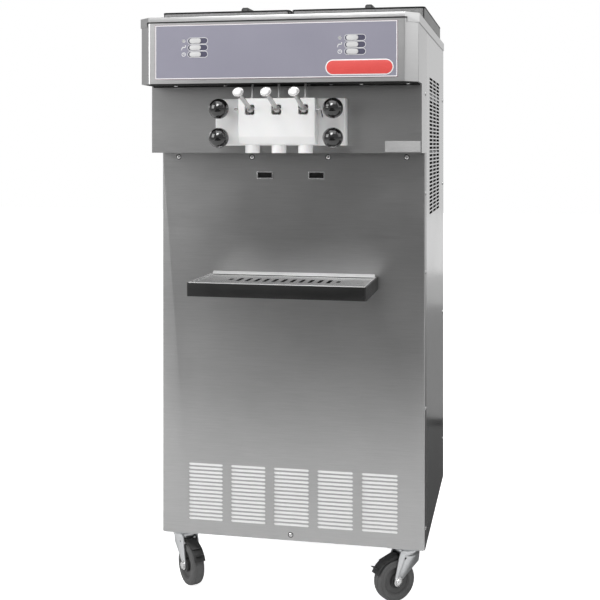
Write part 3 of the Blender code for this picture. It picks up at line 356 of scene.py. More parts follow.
def finishOf(name, tones, rough, metallic=0.0, grain=(1, 1, 1), scale=900, detail=2,
             bump=0.05, depth=0.00003, blotch=0.50, blotchScale=30, sockets=None):
    # two tones, a roughness range and a bump, all from one stretched noise, with larger blotches over them
    mat = bpy.data.materials.new(name)
    mat.use_nodes = True
    tree = mat.node_tree
    shader = tree.nodes["Principled BSDF"]
    shader.inputs["Metallic"].default_value = metallic
    for socket, value in (sockets or {}).items():
        shader.inputs[socket].default_value = value
    coords = tree.nodes.new("ShaderNodeTexCoord")
    mapping = tree.nodes.new("ShaderNodeMapping")
    mapping.inputs["Scale"].default_value = grain
    noise = tree.nodes.new("ShaderNodeTexNoise")
    noise.inputs["Scale"].default_value = scale
    noise.inputs["Detail"].default_value = detail
    noise.inputs["Roughness"].default_value = 0.6
    tree.links.new(coords.outputs["Object"], mapping.inputs["Vector"])
    tree.links.new(mapping.outputs["Vector"], noise.inputs["Vector"])
    cloud = tree.nodes.new("ShaderNodeTexNoise")
    cloud.inputs["Scale"].default_value = blotchScale
    cloud.inputs["Detail"].default_value = 3.0
    tree.links.new(coords.outputs["Object"], cloud.inputs["Vector"])
    blend = tree.nodes.new("ShaderNodeMix")
    blend.data_type = "FLOAT"
    blend.inputs["Factor"].default_value = blotch
    tree.links.new(noise.outputs["Fac"], blend.inputs["A"])
    tree.links.new(cloud.outputs["Fac"], blend.inputs["B"])
    ramp = tree.nodes.new("ShaderNodeValToRGB")
    for element, position, tone in zip(ramp.color_ramp.elements, (0.30, 0.70), tones):
        element.position = position
        element.color = (*tone, 1)
    tree.links.new(blend.outputs["Result"], ramp.inputs["Fac"])
    tree.links.new(ramp.outputs["Color"], shader.inputs["Base Color"])
    spread = tree.nodes.new("ShaderNodeMapRange")
    spread.inputs["From Min"].default_value = 0.3
    spread.inputs["From Max"].default_value = 0.7
    spread.inputs["To Min"].default_value, spread.inputs["To Max"].default_value = rough
    tree.links.new(blend.outputs["Result"], spread.inputs["Value"])
    tree.links.new(spread.outputs["Result"], shader.inputs["Roughness"])
    relief = tree.nodes.new("ShaderNodeBump")
    relief.inputs["Strength"].default_value = bump
    relief.inputs["Distance"].default_value = depth
    tree.links.new(noise.outputs["Fac"], relief.inputs["Height"])
    tree.links.new(relief.outputs["Normal"], shader.inputs["Normal"])
    return mat


def grey(value, warm=0.0):
    return (value + warm, value, value - warm)


finishes = {
    "skinSteel": dict(tones=(grey(0.39), grey(0.49)), rough=(0.28, 0.38), metallic=1.0, grain=brushed,
                      scale=34, detail=5, bump=0.08, depth=0.00006, blotchScale=3.2),
    "sideSteel": dict(tones=(grey(0.54), grey(0.60)), rough=(0.17, 0.25), metallic=1.0, grain=brushed,
                      scale=34, detail=5, bump=0.10, depth=0.00008, blotch=0.45, blotchScale=3.2),
    "headSteel": dict(tones=(grey(0.60), grey(0.66)), rough=(0.26, 0.36), metallic=1.0, grain=brushed,
                      scale=34, detail=5, depth=0.00005, blotch=0.40, blotchScale=4.0),
    "brightSteel": dict(tones=(grey(0.66), grey(0.74)), rough=(0.20, 0.30), metallic=1.0, scale=220, detail=4,
                        bump=0.08, depth=0.00006, blotch=0.35, blotchScale=14),
    "zincPlate": dict(tones=((0.60, 0.61, 0.62), (0.72, 0.73, 0.74)), rough=(0.28, 0.42), metallic=1.0,
                      scale=160, detail=4, bump=0.12, depth=0.00010, blotchScale=26),
    "castSteel": dict(tones=(grey(0.44, 0.003), grey(0.54, 0.003)), rough=(0.30, 0.42), metallic=0.95,
                      scale=420, detail=3, bump=0.20, depth=0.00010, blotch=0.40, blotchScale=60),
    "doorWhite": dict(tones=(grey(0.82, 0.002), grey(0.86, 0.001)), rough=(0.34, 0.46), depth=0.00004,
                      blotch=0.60, blotchScale=18,
                      sockets={"Subsurface Weight": 0.06, "Subsurface Scale": 0.004}),
    "knobBlack": dict(tones=(grey(0.006), grey(0.010)), rough=(0.07, 0.13), scale=300, detail=3, bump=0.02,
                      blotch=0.70, sockets={"Coat Weight": 0.8, "Coat Roughness": 0.06}),
    "trayBlack": dict(tones=(grey(0.006), grey(0.012)), rough=(0.30, 0.44), scale=500, detail=3, bump=0.10,
                      depth=0.00006, blotchScale=20),
    "pedalBlack": dict(tones=(grey(0.012), grey(0.026)), rough=(0.36, 0.52), scale=600, detail=3, bump=0.15,
                       depth=0.00008, blotchScale=40),
    # the lids' plastic is black: its faces are drawn grey, partly as stipple and partly as painted sheen
    "lidGrey": dict(tones=(grey(0.09), grey(0.30)), rough=(0.46, 0.62), scale=620, bump=0.25, depth=0.00012,
                    blotch=0.20, blotchScale=12),
    "gridSteel": dict(tones=(grey(0.56), grey(0.64)), rough=(0.20, 0.28), metallic=1.0, scale=260, detail=4,
                      bump=0.10, depth=0.00006, blotch=0.35, blotchScale=14),
    "rodSteel": dict(tones=(grey(0.72), grey(0.80)), rough=(0.38, 0.48), metallic=0.8, scale=260, detail=4,
                     bump=0.06, depth=0.00004, blotch=0.35),
    # a black used only for painted shade: the lids' dark edges and the discs under the front screws
    "edgeShadeBlack": dict(tones=(grey(0.004), grey(0.009)), rough=(0.55, 0.70), scale=500, bump=0.08,
                      depth=0.00005, blotch=0.40, sockets={"Specular IOR Level": 0.2}),
    "gripBlack": dict(tones=(grey(0.012), grey(0.030)), rough=(0.34, 0.50), scale=700, bump=0.15,
                      depth=0.00008, blotch=0.40),
    "fasciaPurple": dict(tones=((0.250, 0.245, 0.302), (0.274, 0.268, 0.328)), rough=(0.34, 0.44), scale=1400,
                         bump=0.10, depth=0.00004, blotch=0.45, blotchScale=8),
    "printWhite": dict(tones=(grey(0.80), grey(0.86)), rough=(0.36, 0.46), blotchScale=40),
    "printDark": dict(tones=((0.062, 0.060, 0.098), (0.094, 0.090, 0.135)), rough=(0.24, 0.34), blotchScale=40),
    "printRed": dict(tones=((0.66, 0.070, 0.062), (0.74, 0.090, 0.080)), rough=(0.28, 0.38)),
    "trimRed": dict(tones=((0.20, 0.09, 0.14), (0.27, 0.12, 0.18)), rough=(0.32, 0.42)),
    "keyWhite": dict(tones=(grey(0.56), grey(0.64)), rough=(0.32, 0.42), blotchScale=60),
    "labelPaper": dict(tones=(grey(0.41), grey(0.48)), rough=(0.40, 0.55), scale=500, detail=3, depth=0.00004,
                       blotchScale=25),
    "tyreRubber": dict(tones=(grey(0.065), grey(0.110)), rough=(0.52, 0.70), scale=380, detail=4, bump=0.25,
                       depth=0.00015, blotch=0.45, blotchScale=26),
    "hubBlack": dict(tones=(grey(0.018), grey(0.034)), rough=(0.34, 0.48), scale=500, detail=3, bump=0.12,
                     depth=0.00008, blotchScale=40),
    "filterFelt": dict(tones=(grey(0.90), grey(0.97)), rough=(0.85, 0.95), scale=480, detail=5, bump=0.50,
                       depth=0.00060, blotch=0.25, sockets={"Sheen Weight": 0.25}),
    "glandRubber": dict(tones=(grey(0.020), grey(0.040)), rough=(0.55, 0.70), scale=500, detail=3, bump=0.15,
                        depth=0.00010, blotch=0.40, blotchScale=40),
    "galvanised": dict(tones=((0.44, 0.45, 0.46), (0.58, 0.59, 0.60)), rough=(0.34, 0.52), metallic=1.0,
                       scale=90, detail=4, bump=0.10, depth=0.00010, blotch=0.55, blotchScale=22),
    "blackEnamel": dict(tones=(grey(0.014), grey(0.026)), rough=(0.22, 0.36), scale=240, detail=3, bump=0.18,
                        depth=0.00020, blotchScale=16),
    "motorGrey": dict(tones=((0.10, 0.11, 0.12), (0.15, 0.16, 0.17)), rough=(0.36, 0.50), scale=300, detail=3,
                      bump=0.20, depth=0.00020, blotchScale=16),
    # a black used only for painted shade: under the header and the deck, behind the chutes and inside the side
    # vents
    "shadeBlack": dict(tones=(grey(0.003), grey(0.006)), rough=(0.85, 0.95), scale=200, depth=0.00005,
                      blotchScale=20),
    "finStock": dict(tones=(grey(0.40), grey(0.62)), rough=(0.30, 0.46), metallic=1.0, grain=(520, 1, 1),
                     scale=1.0, detail=1, bump=0.60, depth=0.00080, blotch=0.10, blotchScale=20),
}
looks = {name: finishOf(name, **values) for name, values in finishes.items()}
print("finishes ready")


# every CAD node's finish; the ones made again below are hidden by their pieces

nodeLooks = {
    "skinSteel": ("front_panel", "dispensing_panel", "rear_panel"),
    "sideSteel": ("left_side_panel", "right_side_panel"),
    "headSteel": ("header_housing", "hopper_deck"),
    "brightSteel": ("freezing_barrels", "handle_pivot_rod", "switch_rod_left", "switch_rod_centre",
                    "switch_rod_right", "tray_bracket", "seal_drip_pan"),
    "gridSteel": ("splash_grid",),
    "castSteel": ("draw_handle_left", "draw_handle_centre", "draw_handle_right"),
    "doorWhite": ("freezer_door", "draw_valve_left", "draw_valve_centre", "draw_valve_right",
                  "left_beater", "right_beater"),
    "knobBlack": ("door_knob_upper_left", "door_knob_lower_left", "door_knob_upper_right",
                  "door_knob_lower_right"),
    "trayBlack": ("drip_tray",),
    "lidGrey": ("left_lid", "right_lid"),
    "fasciaPurple": ("control_fascia",),
    "keyWhite": tuple(side + "_" + key + "_key" for side in ("left", "right")
                      for key in ("freeze", "serve", "standby")),
    "filterFelt": ("air_filter",),
    "glandRubber": ("cord_gland",),
    "galvanised": ("frame",),
    "finStock": ("condenser",),
    "blackEnamel": ("compressor", "condenser_fan"),
    "motorGrey": ("left_gearmotor", "right_gearmotor"),
}
corners = ("front_right", "front_left", "rear_right", "rear_left")
nodeLooks["tyreRubber"] = tuple("caster_wheel_" + c for c in corners)
nodeLooks["zincPlate"] = tuple(kind + c for kind in ("caster_fork_", "caster_axle_") for c in corners)
nodeLooks["pedalBlack"] = ("brake_pedal_front_right", "brake_pedal_front_left")
for lookName, names in nodeLooks.items():
    for nodeName in names:
        slots = nodes[nodeName].data.materials
        slots.clear()
        slots.append(looks[lookName])
print("CAD nodes dressed:", sum(len(names) for names in nodeLooks.values()))


# cabinet sheets: copies with their folds rounded, and black sheets of painted shade under the header and the deck

cabinet = {
    "foldRadius": 0.0022,
    "foldSteps": 4,
    "cornerReach": 0.032,           # the header's slanted corners lie within this of its sides
    "shadeHeights": (1.2494, 1.2498),
    "shadeInset": 0.0045,
    "shadeCorner": 0.029,
    "rodHole": 0.0040,
    "shadeStripHeights": (1.2463, 1.2493),
    "deckEdge": 0.0011,
    "flangeBand": (0.0225, 0.0105),     # the flange's lower edge lies this far below the deck's top
    "flangeReach": 0.040,
    "flangeShadowDepth": 0.0025,
}
frontLow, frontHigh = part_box("front_panel")
headLow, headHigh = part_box("header_housing")
panelLow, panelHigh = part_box("dispensing_panel")

frontWrap = refine("frontWrap", "front_panel")
bevelEdges(frontWrap, cabinet["foldRadius"], cabinet["foldSteps"],
           lambda m, d: isUpright(d) and m.y < frontLow.y + 0.002 and abs(m.x) > frontHigh.x - 0.002)
finishPiece(frontWrap, "root", "skinSteel", stands=("front_panel",))

cornerReach = cabinet["cornerReach"]
headerWrap = refine("headerWrap", "header_housing")
bevelEdges(headerWrap, cabinet["foldRadius"], cabinet["foldSteps"],
           lambda m, d: isUpright(d) and m.y < headLow.y + cornerReach and abs(m.x) > headHigh.x - cornerReach)
finishPiece(headerWrap, "root", "headSteel", stands=("header_housing",))

shadeLow, shadeHigh = cabinet["shadeHeights"]
shadeInset = cabinet["shadeInset"]
# a black plate of painted shade over the header's underside, with holes for the switch rods
shade = startBox("headerShade", (headLow.x + shadeInset, headLow.y + 0.0040, shadeLow),
                 (headHigh.x - shadeInset, panelLow.y - 0.0004, shadeHigh))
bevelEdges(shade, cabinet["shadeCorner"], 1, lambda m, d: isUpright(d) and m.y < headLow.y + 0.005)
for side in ("left", "centre", "right"):
    rodX, rodY = middleOf("switch_rod_" + side)[:2]
    carve(shade, turnRings("hole", [(cabinet["rodHole"], shadeLow - past), (cabinet["rodHole"], shadeHigh + past)],
                           (rodX, rodY, 0), sides=20))
finishPiece(shade, "root", "shadeBlack")
# a thin black strip of painted shade along the top of the dispensing panel, just under the header
shadeStripLow, shadeStripHigh = cabinet["shadeStripHeights"]
shadeStrip = startBox("headerShadeStrip", (panelLow.x + 0.004, panelLow.y - 0.0005, shadeStripLow),
                (panelHigh.x - 0.004, panelLow.y + 0.0001, shadeStripHigh))
softEdges(shadeStrip, 0.0001)
finishPiece(shadeStrip, "root", "shadeBlack")

deckLow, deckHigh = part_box("hopper_deck")


def onDeckEdge(middle, direction):
    # the rim of the deck's top, with its two slanted front corners
    atSide = abs(middle.x) > deckHigh.x - 0.001
    atEnd = middle.y < deckLow.y + 0.001 or middle.y > deckHigh.y - 0.001
    atCorner = abs(middle.x) > deckHigh.x - 0.035 and middle.y < deckLow.y + 0.035
    return middle.z > deckHigh.z - 0.00001 and (atSide or atEnd or atCorner)


def underFlange(centre, normal):
    # the flange's lower edge, which faces down round the front, the sides and the rear
    deep, shallow = cabinet["flangeBand"]
    reach = cabinet["flangeReach"]
    inBand = deckHigh.z - deep < centre.z < deckHigh.z - shallow
    atRim = abs(centre.x) > deckHigh.x - reach or centre.y < deckLow.y + reach or centre.y > deckHigh.y - 0.002
    return normal.z < -0.9 and inBand and atRim


hopperDeckSheet = refine("hopperDeckSheet", "hopper_deck")
bevelEdges(hopperDeckSheet, cabinet["deckEdge"], 3, onDeckEdge)
finishPiece(hopperDeckSheet, "root", "headSteel", stands=("hopper_deck",))
# a thin black strip of painted shadow under the deck flange's lower edge, following its outline
deckShadowStrip = refine("deckShadowStrip", "hopper_deck")
selectWhere(deckShadowStrip, "FACE", lambda c, n: not underFlange(c, n))
bpy.ops.mesh.delete(type="FACE")
leaveEdit()
applyNew(deckShadowStrip, "depth", "SOLIDIFY", thickness=cabinet["flangeShadowDepth"], offset=1.0)
finishPiece(deckShadowStrip, "root", "shadeBlack")
print("cabinet sheets done")


# control fascia with its printing, and the six mode keys

fascia = {
    "borderInset": 0.0008,
    "borderWidth": 0.0019,
    "trimWidth": 0.0010,
    "printThick": 0.00018,
    "rowShift": {"left": 0.0059, "right": 0.0065},      # each key's outline stands off its middle
    "outlineLength": 0.0493,
    "outlineHeight": 0.0150,
    "outlineWidth": 0.0009,
    "windowInset": 0.0014,
    "windowClear": 0.0006,
    "keyLength": 0.0276,
    "keyHeight": 0.0114,
    "keyProud": 0.0014,
    "keyClear": 0.0008,
    "keyRadius": 0.0006,
    "badgeX": (0.1209, 0.2766),
    "badgeZ": (1.2644, 1.3003),
    "badgeRim": 0.0024,
    "badgeProud": 0.0013,
    "badgeRimProud": 0.0009,
}
fasciaLow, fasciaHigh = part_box("control_fascia")
fasciaFace = fasciaLow.y


def pill(name, x, z, length, height, yLow, yHigh, steps=6):
    # a slab whose four corners are rounded into two half circles
    obj = startBox(name, (x - length / 2, yLow, z - height / 2), (x + length / 2, yHigh, z + height / 2))
    return bevelEdges(obj, height / 2 * 0.998, steps, lambda m, d: abs(d.y) > 0.99)


def framePlate(name, xLow, xHigh, zLow, zHigh, width, yLow, yHigh):
    obj = startBox(name, (xLow, yLow, zLow), (xHigh, yHigh, zHigh))
    inner = startBox("inner", (xLow + width, yLow - past, zLow + width),
                     (xHigh - width, yHigh + past, zHigh - width))
    return carve(obj, inner)


fasciaPlate = startBox("fasciaPlate", fasciaLow, fasciaHigh)
keyPieces = []
for side in ("left", "right"):
    for keyName in ("freeze", "serve", "standby"):
        nodeName = side + "_" + keyName + "_key"
        keyX, _, keyZ = middleOf(nodeName)
        hole = pill("hole", keyX, keyZ, fascia["keyLength"] + fascia["keyClear"],
                    fascia["keyHeight"] + fascia["keyClear"], fasciaFace - past, fasciaHigh.y + past)
        carve(fasciaPlate, hole)
        label = side + keyName.capitalize()
        key = pill(label + "Key", keyX, keyZ, fascia["keyLength"], fascia["keyHeight"],
                   fasciaFace - fascia["keyProud"], fasciaFace + 0.0002)
        softEdges(key, fascia["keyRadius"], 3)
        finishPiece(key, nodeName, "keyWhite", stands=(nodeName,))
        keyPieces.append((side, keyName, label, keyX, keyZ))
finishPiece(fasciaPlate, "root", "fasciaPurple", stands=("control_fascia",))

thin = fascia["printThick"]
printFace, printBack = fasciaFace - 1.4 * thin, fasciaFace + thin / 2
trimFrame = framePlate("trimFrame", fasciaLow.x, fasciaHigh.x, fasciaLow.z, fasciaHigh.z, fascia["trimWidth"],
                       fasciaFace - thin, fasciaFace + thin)
finishPiece(trimFrame, "root", "trimRed")
inset = fascia["borderInset"]
borderFrame = framePlate("borderFrame", fasciaLow.x + inset, fasciaHigh.x - inset, fasciaLow.z + inset,
                         fasciaHigh.z - inset, fascia["borderWidth"], fasciaFace - 1.5 * thin, fasciaFace + thin)
finishPiece(borderFrame, "root", "printWhite")

for side, keyName, label, keyX, keyZ in keyPieces:
    rowX = keyX + fascia["rowShift"][side]
    window = pill(label + "Window", rowX, keyZ, fascia["outlineLength"] - fascia["windowInset"],
                  fascia["outlineHeight"] - fascia["windowInset"], fasciaFace - thin, printBack)
    hole = pill("hole", keyX, keyZ, fascia["keyLength"] + fascia["windowClear"],
                fascia["keyHeight"] + fascia["windowClear"], fasciaFace - past, fasciaFace + past)
    carve(window, hole)
    finishPiece(window, "root", "printDark")
    outline = pill(label + "Outline", rowX, keyZ, fascia["outlineLength"], fascia["outlineHeight"],
                   printFace, printBack)
    inner = pill("inner", rowX, keyZ, fascia["outlineLength"] - 2 * fascia["outlineWidth"],
                 fascia["outlineHeight"] - 2 * fascia["outlineWidth"], fasciaFace - past, fasciaFace + past)
    carve(outline, inner)
    finishPiece(outline, "root", "printWhite")

icons = {
    "shift": {"left": -0.0279, "right": -0.0285},
    "grow": 1.25,
    "arm": (0.0068, 0.0013),        # length and width
    "barb": (0.0022, 0.0009),
    "barbRadius": 0.0022,
    "dial": (0.0078, 0.0076),
    "dialHole": (0.0058, 0.0056),
    # strokes: shift in x and z, length, width, turn
    "tap": ((0.0006, 0.0008, 0.0064, 0.0017, 0), (0.0034, 0.0022, 0.0045, 0.0014, 90),
            (-0.0030, -0.0006, 0.0036, 0.0015, -62), (-0.0040, -0.0036, 0.0016, 0.0012, 90)),
    "hands": ((0, 0.0010, 0.0026, 0.0008, 90), (0.0009, -0.0003, 0.0024, 0.0008, 25)),
}


def bar(x, z, length, width, turn=0):
    obj = startBox("bar", (-length / 2, printFace, -width / 2), (length / 2, printBack, width / 2))
    obj.data.transform(Matrix.Translation((x, 0, z)) @ Matrix.Rotation(math.radians(turn), 4, "Y"))
    return obj


def snowflake(x, z):
    strokes = [bar(x, z, *icons["arm"], 60 * i) for i in range(3)]
    for i in range(6):
        a = math.radians(60 * i)
        tip = (x + icons["barbRadius"] * math.cos(a), z - icons["barbRadius"] * math.sin(a))
        strokes.append(bar(*tip, *icons["barb"], 60 * i + 90))
    return strokes


def clockDial(x, z):
    dial = pill("dial", x, z, *icons["dial"], printFace, printBack, 8)
    carve(dial, pill("inner", x, z, *icons["dialHole"], fasciaFace - past, fasciaFace + past, 8))
    return [dial]


for side, keyName, label, keyX, keyZ in keyPieces:
    x, z = keyX + icons["shift"][side], keyZ
    strokes = {"freeze": snowflake, "standby": clockDial}[keyName](x, z) if keyName != "serve" else []
    extras = {"serve": icons["tap"], "standby": icons["hands"]}.get(keyName, ())
    strokes += [bar(x + shiftX, z + shiftZ, *rest) for shiftX, shiftZ, *rest in extras]
    icon = joinAll(label + "Icon", strokes)
    grow = Matrix.Diagonal((icons["grow"], 1, icons["grow"], 1))
    icon.data.transform(Matrix.Translation((x, 0, z)) @ grow @ Matrix.Translation((-x, 0, -z)))
    finishPiece(icon, "root", "printWhite")

badgeX, badgeZ = sum(fascia["badgeX"]) / 2, sum(fascia["badgeZ"]) / 2
badgeLength = fascia["badgeX"][1] - fascia["badgeX"][0]
badgeHeight = fascia["badgeZ"][1] - fascia["badgeZ"][0]
badgeRim = pill("badgeRim", badgeX, badgeZ, badgeLength, badgeHeight, fasciaFace - fascia["badgeRimProud"],
                fasciaFace + thin, 10)
softEdges(badgeRim, 0.0004, 2)
finishPiece(badgeRim, "root", "printWhite")
badge = pill("badge", badgeX, badgeZ, badgeLength - 2 * fascia["badgeRim"], badgeHeight - 2 * fascia["badgeRim"],
             fasciaFace - fascia["badgeProud"], fasciaFace, 10)
softEdges(badge, 0.0005, 3)
finishPiece(badge, "root", "printRed")
print("fascia done")


# hopper lids: stippled tops, black strips of painted shade along their rounded edges, and a strap grip on each

lids = {
    "corner": 0.011,
    "topRadius": 0.0030,
    "wall": 0.003,
    "edgeShade": 0.0042,
    "footShade": 0.0022,
    "cornerShade": 0.0022,
    "cornerShadeInset": 0.0016,
    "proud": 0.0004,
    "gripWidth": 0.0200,
    "gripRise": 0.0345,
    "gripEnds": (0.180, 0.310),     # behind the lid's front
    "gripFoot": 0.0110,
    "strap": 0.0085,
    "gripTaper": 0.80,
    "tunnelTaper": 0.84,
    "gripBend": 0.0070,
    "gripCrown": 0.0062,
    "gripRadius": 0.0016,
}


def lidShell(side, low, high, top):
    shell = startBox(side + "LidShell", low, (high.x, high.y, top))
    bevelEdges(shell, lids["corner"], 5, lambda m, d: isUpright(d))
    selectWhere(shell, "FACE", lambda c, n: n.z < -0.9)
    bpy.ops.mesh.inset(thickness=lids["wall"], depth=0)
    bpy.ops.mesh.extrude_region_move(TRANSFORM_OT_translate={"value": (0, 0, top - low.z - lids["wall"])})
    leaveEdit()
    return bevelEdges(shell, lids["topRadius"], 4, lambda m, d: m.z > top - 0.00001)


def lidEdgeShade(side, low, high, top):
    # black strips of painted shade round the top edge, round the foot and down each corner, for the dark rounded
    # edges of the lid's black plastic
    edgeShadeStrips = []
    proud, inset = lids["proud"], lids["corner"]
    for zLow, zHigh in ((top - lids["edgeShade"], top + 0.0004), (low.z - 0.0001, low.z + lids["footShade"])):
        bead = startBox("bead", (low.x - proud, low.y - proud, zLow), (high.x + proud, high.y + proud, zHigh))
        bevelEdges(bead, inset + proud, 5, lambda m, d: isUpright(d))
        selectWhere(bead, "FACE", lambda c, n: abs(n.z) > 0.9)
        bpy.ops.mesh.inset(thickness=lids["edgeShade"], depth=0)
        bpy.ops.mesh.select_mode(type="FACE")
        bpy.ops.mesh.bridge_edge_loops()
        leaveEdit()
        edgeShadeStrips.append(bead)
    slant = (inset - lids["cornerShadeInset"]) * math.sqrt(0.5)
    for x, outX in ((low.x + inset, -slant), (high.x - inset, slant)):
        for y, outY in ((low.y + inset, -slant), (high.y - inset, slant)):
            edgeShadeStrips.append(turnRings("bead", [(lids["cornerShade"], low.z), (lids["cornerShade"], top)],
                                   (x + outX, y + outY, 0), sides=16))
    edgeShade = joinAll(side + "LidEdgeShade", edgeShadeStrips)
    return softEdges(edgeShade, 0.0010, 3, 60)


def lidGrip(side, low, high, top):
    # a block narrowed towards its top, with a tunnel cut through it for the fingers
    middle = (low.x + high.x) / 2
    half = lids["gripWidth"] / 2
    frontY, backY = (low.y + end for end in lids["gripEnds"])
    centre = (middle, (frontY + backY) / 2, high.z)
    foot = lids["gripFoot"]
    grip = startBox(side + "LidGrip", (middle - half, frontY, top - 0.001), (middle + half, backY, high.z))
    tunnel = startBox("tunnel", (middle - 0.05, frontY + foot, top - 0.05),
                      (middle + 0.05, backY - foot, high.z - lids["strap"]))
    for obj, taper in ((grip, lids["gripTaper"]), (tunnel, lids["tunnelTaper"])):
        selectWhere(obj, "FACE", lambda c, n: n.z > 0.9)
        bpy.ops.transform.resize(value=(1, taper, 1), center_override=centre)
        leaveEdit()
    carve(grip, tunnel)
    bevelEdges(grip, lids["gripBend"], 4, lambda m, d: abs(d.x) > 0.99 and m.z > high.z - 0.0001)
    bevelEdges(grip, lids["gripCrown"], 4,
               lambda m, d: abs(m.x - middle) > half - 0.0001 and abs(d.x) < 0.1 and m.z > high.z - 0.0090)
    return softEdges(grip, lids["gripRadius"], 3, 40)


for side in ("left", "right"):
    lidName = side + "_lid"
    low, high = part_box(lidName)
    top = high.z - lids["gripRise"]
    finishPiece(lidShell(side, low, high, top), lidName, "lidGrey", 40, stands=(lidName,))
    finishPiece(lidEdgeShade(side, low, high, top), lidName, "edgeShadeBlack", 45)
    finishPiece(lidGrip(side, low, high, top), lidName, "gripBlack", 45)
print("lids done")


# freezer door: plate, raised block with a slanted foot, three spouts, pockets and bores

door = {
    "plateFoot": 1.105,
    "plateRadius": 0.0022,
    "blockWidth": 0.184,
    "blockReach": 0.034,
    "blockRadius": 0.0030,
    "slope": 0.0205,        # height of the slanted foot, and how far it leans in
    "lean": 0.0105,
    "foot": 0.0020,
    "pivotHeight": 1.190,
    "pivotDepth": 0.0055,
    "spoutPitch": 0.0637,
    "spoutRadius": 0.0173,
    "spoutChamfer": 0.0012,
    "spoutRoot": 0.030,
    "mouthRings": ((0.0141, -0.001), (0.0135, 0.0010), (0.0115, 0.012)),    # radius, height over the spout's foot
    "pocketWidth": 0.0236,
    "pocketDrop": 0.0015,
    "pocketRadius": 0.0045,
    "valveBore": 0.0082,
    "rodHole": 0.0036,
    "rodHoleDepth": 0.0044,
    "gasketInset": 0.0025,
    "tapRings": ((0.0009, 0.0), (0.0009, 0.0006), (0.0006, 0.0008)),
    "tapOffset": 0.0060,
    "tapHeights": (1.1865, 1.1925),
}
doorLow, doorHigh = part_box("freezer_door")
blockFace = doorLow.y
plateFace = blockFace + door["blockReach"]
plateLow = door["plateFoot"]
pivotZ = door["pivotHeight"]
pivotY = blockFace + door["pivotDepth"]
valveY = middleOf("switch_rod_centre")[1]
spoutsX = (-door["spoutPitch"], 0.0, door["spoutPitch"])

plate = startBox("doorPlate", (doorLow.x, plateFace, plateLow), (doorHigh.x, doorHigh.y, doorHigh.z))
raised = startBox("doorBlock", (-door["blockWidth"] / 2, blockFace, plateLow + door["foot"]),
                  (door["blockWidth"] / 2, plateFace + 0.010, doorHigh.z - 0.0004))
slopeTop = plateLow + door["slope"]
pick(raised)
bpy.ops.object.mode_set(mode="EDIT")
bpy.ops.mesh.select_all(action="SELECT")
bpy.ops.mesh.bisect(plane_co=(0, 0, slopeTop), plane_no=(0, 0, 1))
selectWhere(raised, "VERT", lambda v: v.y < blockFace + 0.001 and v.z < slopeTop - 0.001)
bpy.ops.transform.translate(value=(0, door["lean"], 0))
leaveEdit()
softEdges(raised, door["blockRadius"], 4, 25)
softEdges(plate, door["plateRadius"], 3)
freezerDoor = carve(plate, raised, "UNION")
for x in spoutsX:
    wide, chamfer = door["spoutRadius"], door["spoutChamfer"]
    spout = turnRings("spout", [(wide - chamfer, doorLow.z), (wide, doorLow.z + chamfer),
                                (wide, plateLow + door["spoutRoot"])], (x, valveY, 0), sides=40)
    carve(freezerDoor, spout, "UNION")
for x in spoutsX:
    mouthRings = [(radius, doorLow.z + height) for radius, height in door["mouthRings"]]
    carve(freezerDoor, turnRings("mouth", mouthRings, (x, valveY, 0), sides=32))
    half = door["pocketWidth"] / 2
    pocketZ = pivotZ - door["pocketDrop"]
    pocket = startBox("pocket", (x - half, blockFace - past, pocketZ - half),
                      (x + half, valveY - 0.004, pocketZ + half))
    bevelEdges(pocket, door["pocketRadius"], 4, lambda m, d: abs(d.y) > 0.99)
    carve(freezerDoor, pocket)
    boreTop = doorHigh.z - door["rodHoleDepth"]
    bore = turnRings("bore", [(door["valveBore"], pivotZ - 0.040), (door["valveBore"], boreTop - 0.0001),
                              (door["rodHole"], boreTop), (door["rodHole"], doorHigh.z + past)],
                     (x, valveY, 0), sides=24)
    carve(freezerDoor, bore)
finishPiece(freezerDoor, "door", "doorWhite", 35, stands=("freezer_door",))

inset = door["gasketInset"]
gasket = startBox("doorGasket", (doorLow.x + inset, doorHigh.y - 0.0006, plateLow + inset),
                  (doorHigh.x - inset, doorHigh.y + 0.0002, doorHigh.z - inset))
softEdges(gasket, 0.0002, 2)
finishPiece(gasket, "door", "glandRubber")

tapX = -door["blockWidth"] / 2 - door["tapOffset"]
taps = [turnRings("tap", door["tapRings"], (tapX, plateFace, z), (0, -1, 0), 12) for z in door["tapHeights"]]
finishPiece(joinAll("sideTaps", taps), "door", "brightSteel")
print("door done")


# ball knobs on the studs, each with its neck and ferrule

knobs = {
    "radius": 0.0238,
    "cap": 0.92,        # the ball is opened beyond this share of its radius
    # the neck's rings: radius, distance from the ball's middle
    "neckRings": ((0.0098, -0.0228), (0.0093, -0.0250), (0.0098, -0.0285), (0.0100, -0.0330),
                  (0.0100, -0.0440), (0.0094, -0.0446)),
    "ferruleRings": ((0.0078, 0.0), (0.0084, 0.0003), (0.0084, 0.0010), (0.0078, 0.0013)),
}
clearSelection()
bpy.ops.mesh.primitive_uv_sphere_add(segments=48, ring_count=30, radius=knobs["radius"])
ball = bpy.context.object
ball.name = "ball"
selectWhere(ball, "FACE", lambda c, n: c.z < -knobs["cap"] * knobs["radius"])
bpy.ops.mesh.delete(type="FACE")
bpy.ops.mesh.select_mode(type="EDGE")
bpy.ops.mesh.select_non_manifold()
for width, height in knobs["neckRings"]:
    bpy.ops.mesh.extrude_edges_move(TRANSFORM_OT_translate={"value": (0, 0, 0)})
    bm = bmesh.from_edit_mesh(ball.data)
    for vertex in bm.verts:
        if vertex.select:
            flat = Vector((vertex.co.x, vertex.co.y, 0)).normalized()
            vertex.co = (flat.x * width, flat.y * width, height)
    bmesh.update_edit_mesh(ball.data)
bpy.ops.mesh.edge_face_add()
bpy.ops.mesh.select_all(action="SELECT")
bpy.ops.mesh.normals_make_consistent(inside=False)
leaveEdit()
facing = Matrix.Rotation(math.pi / 2, 4, "X")
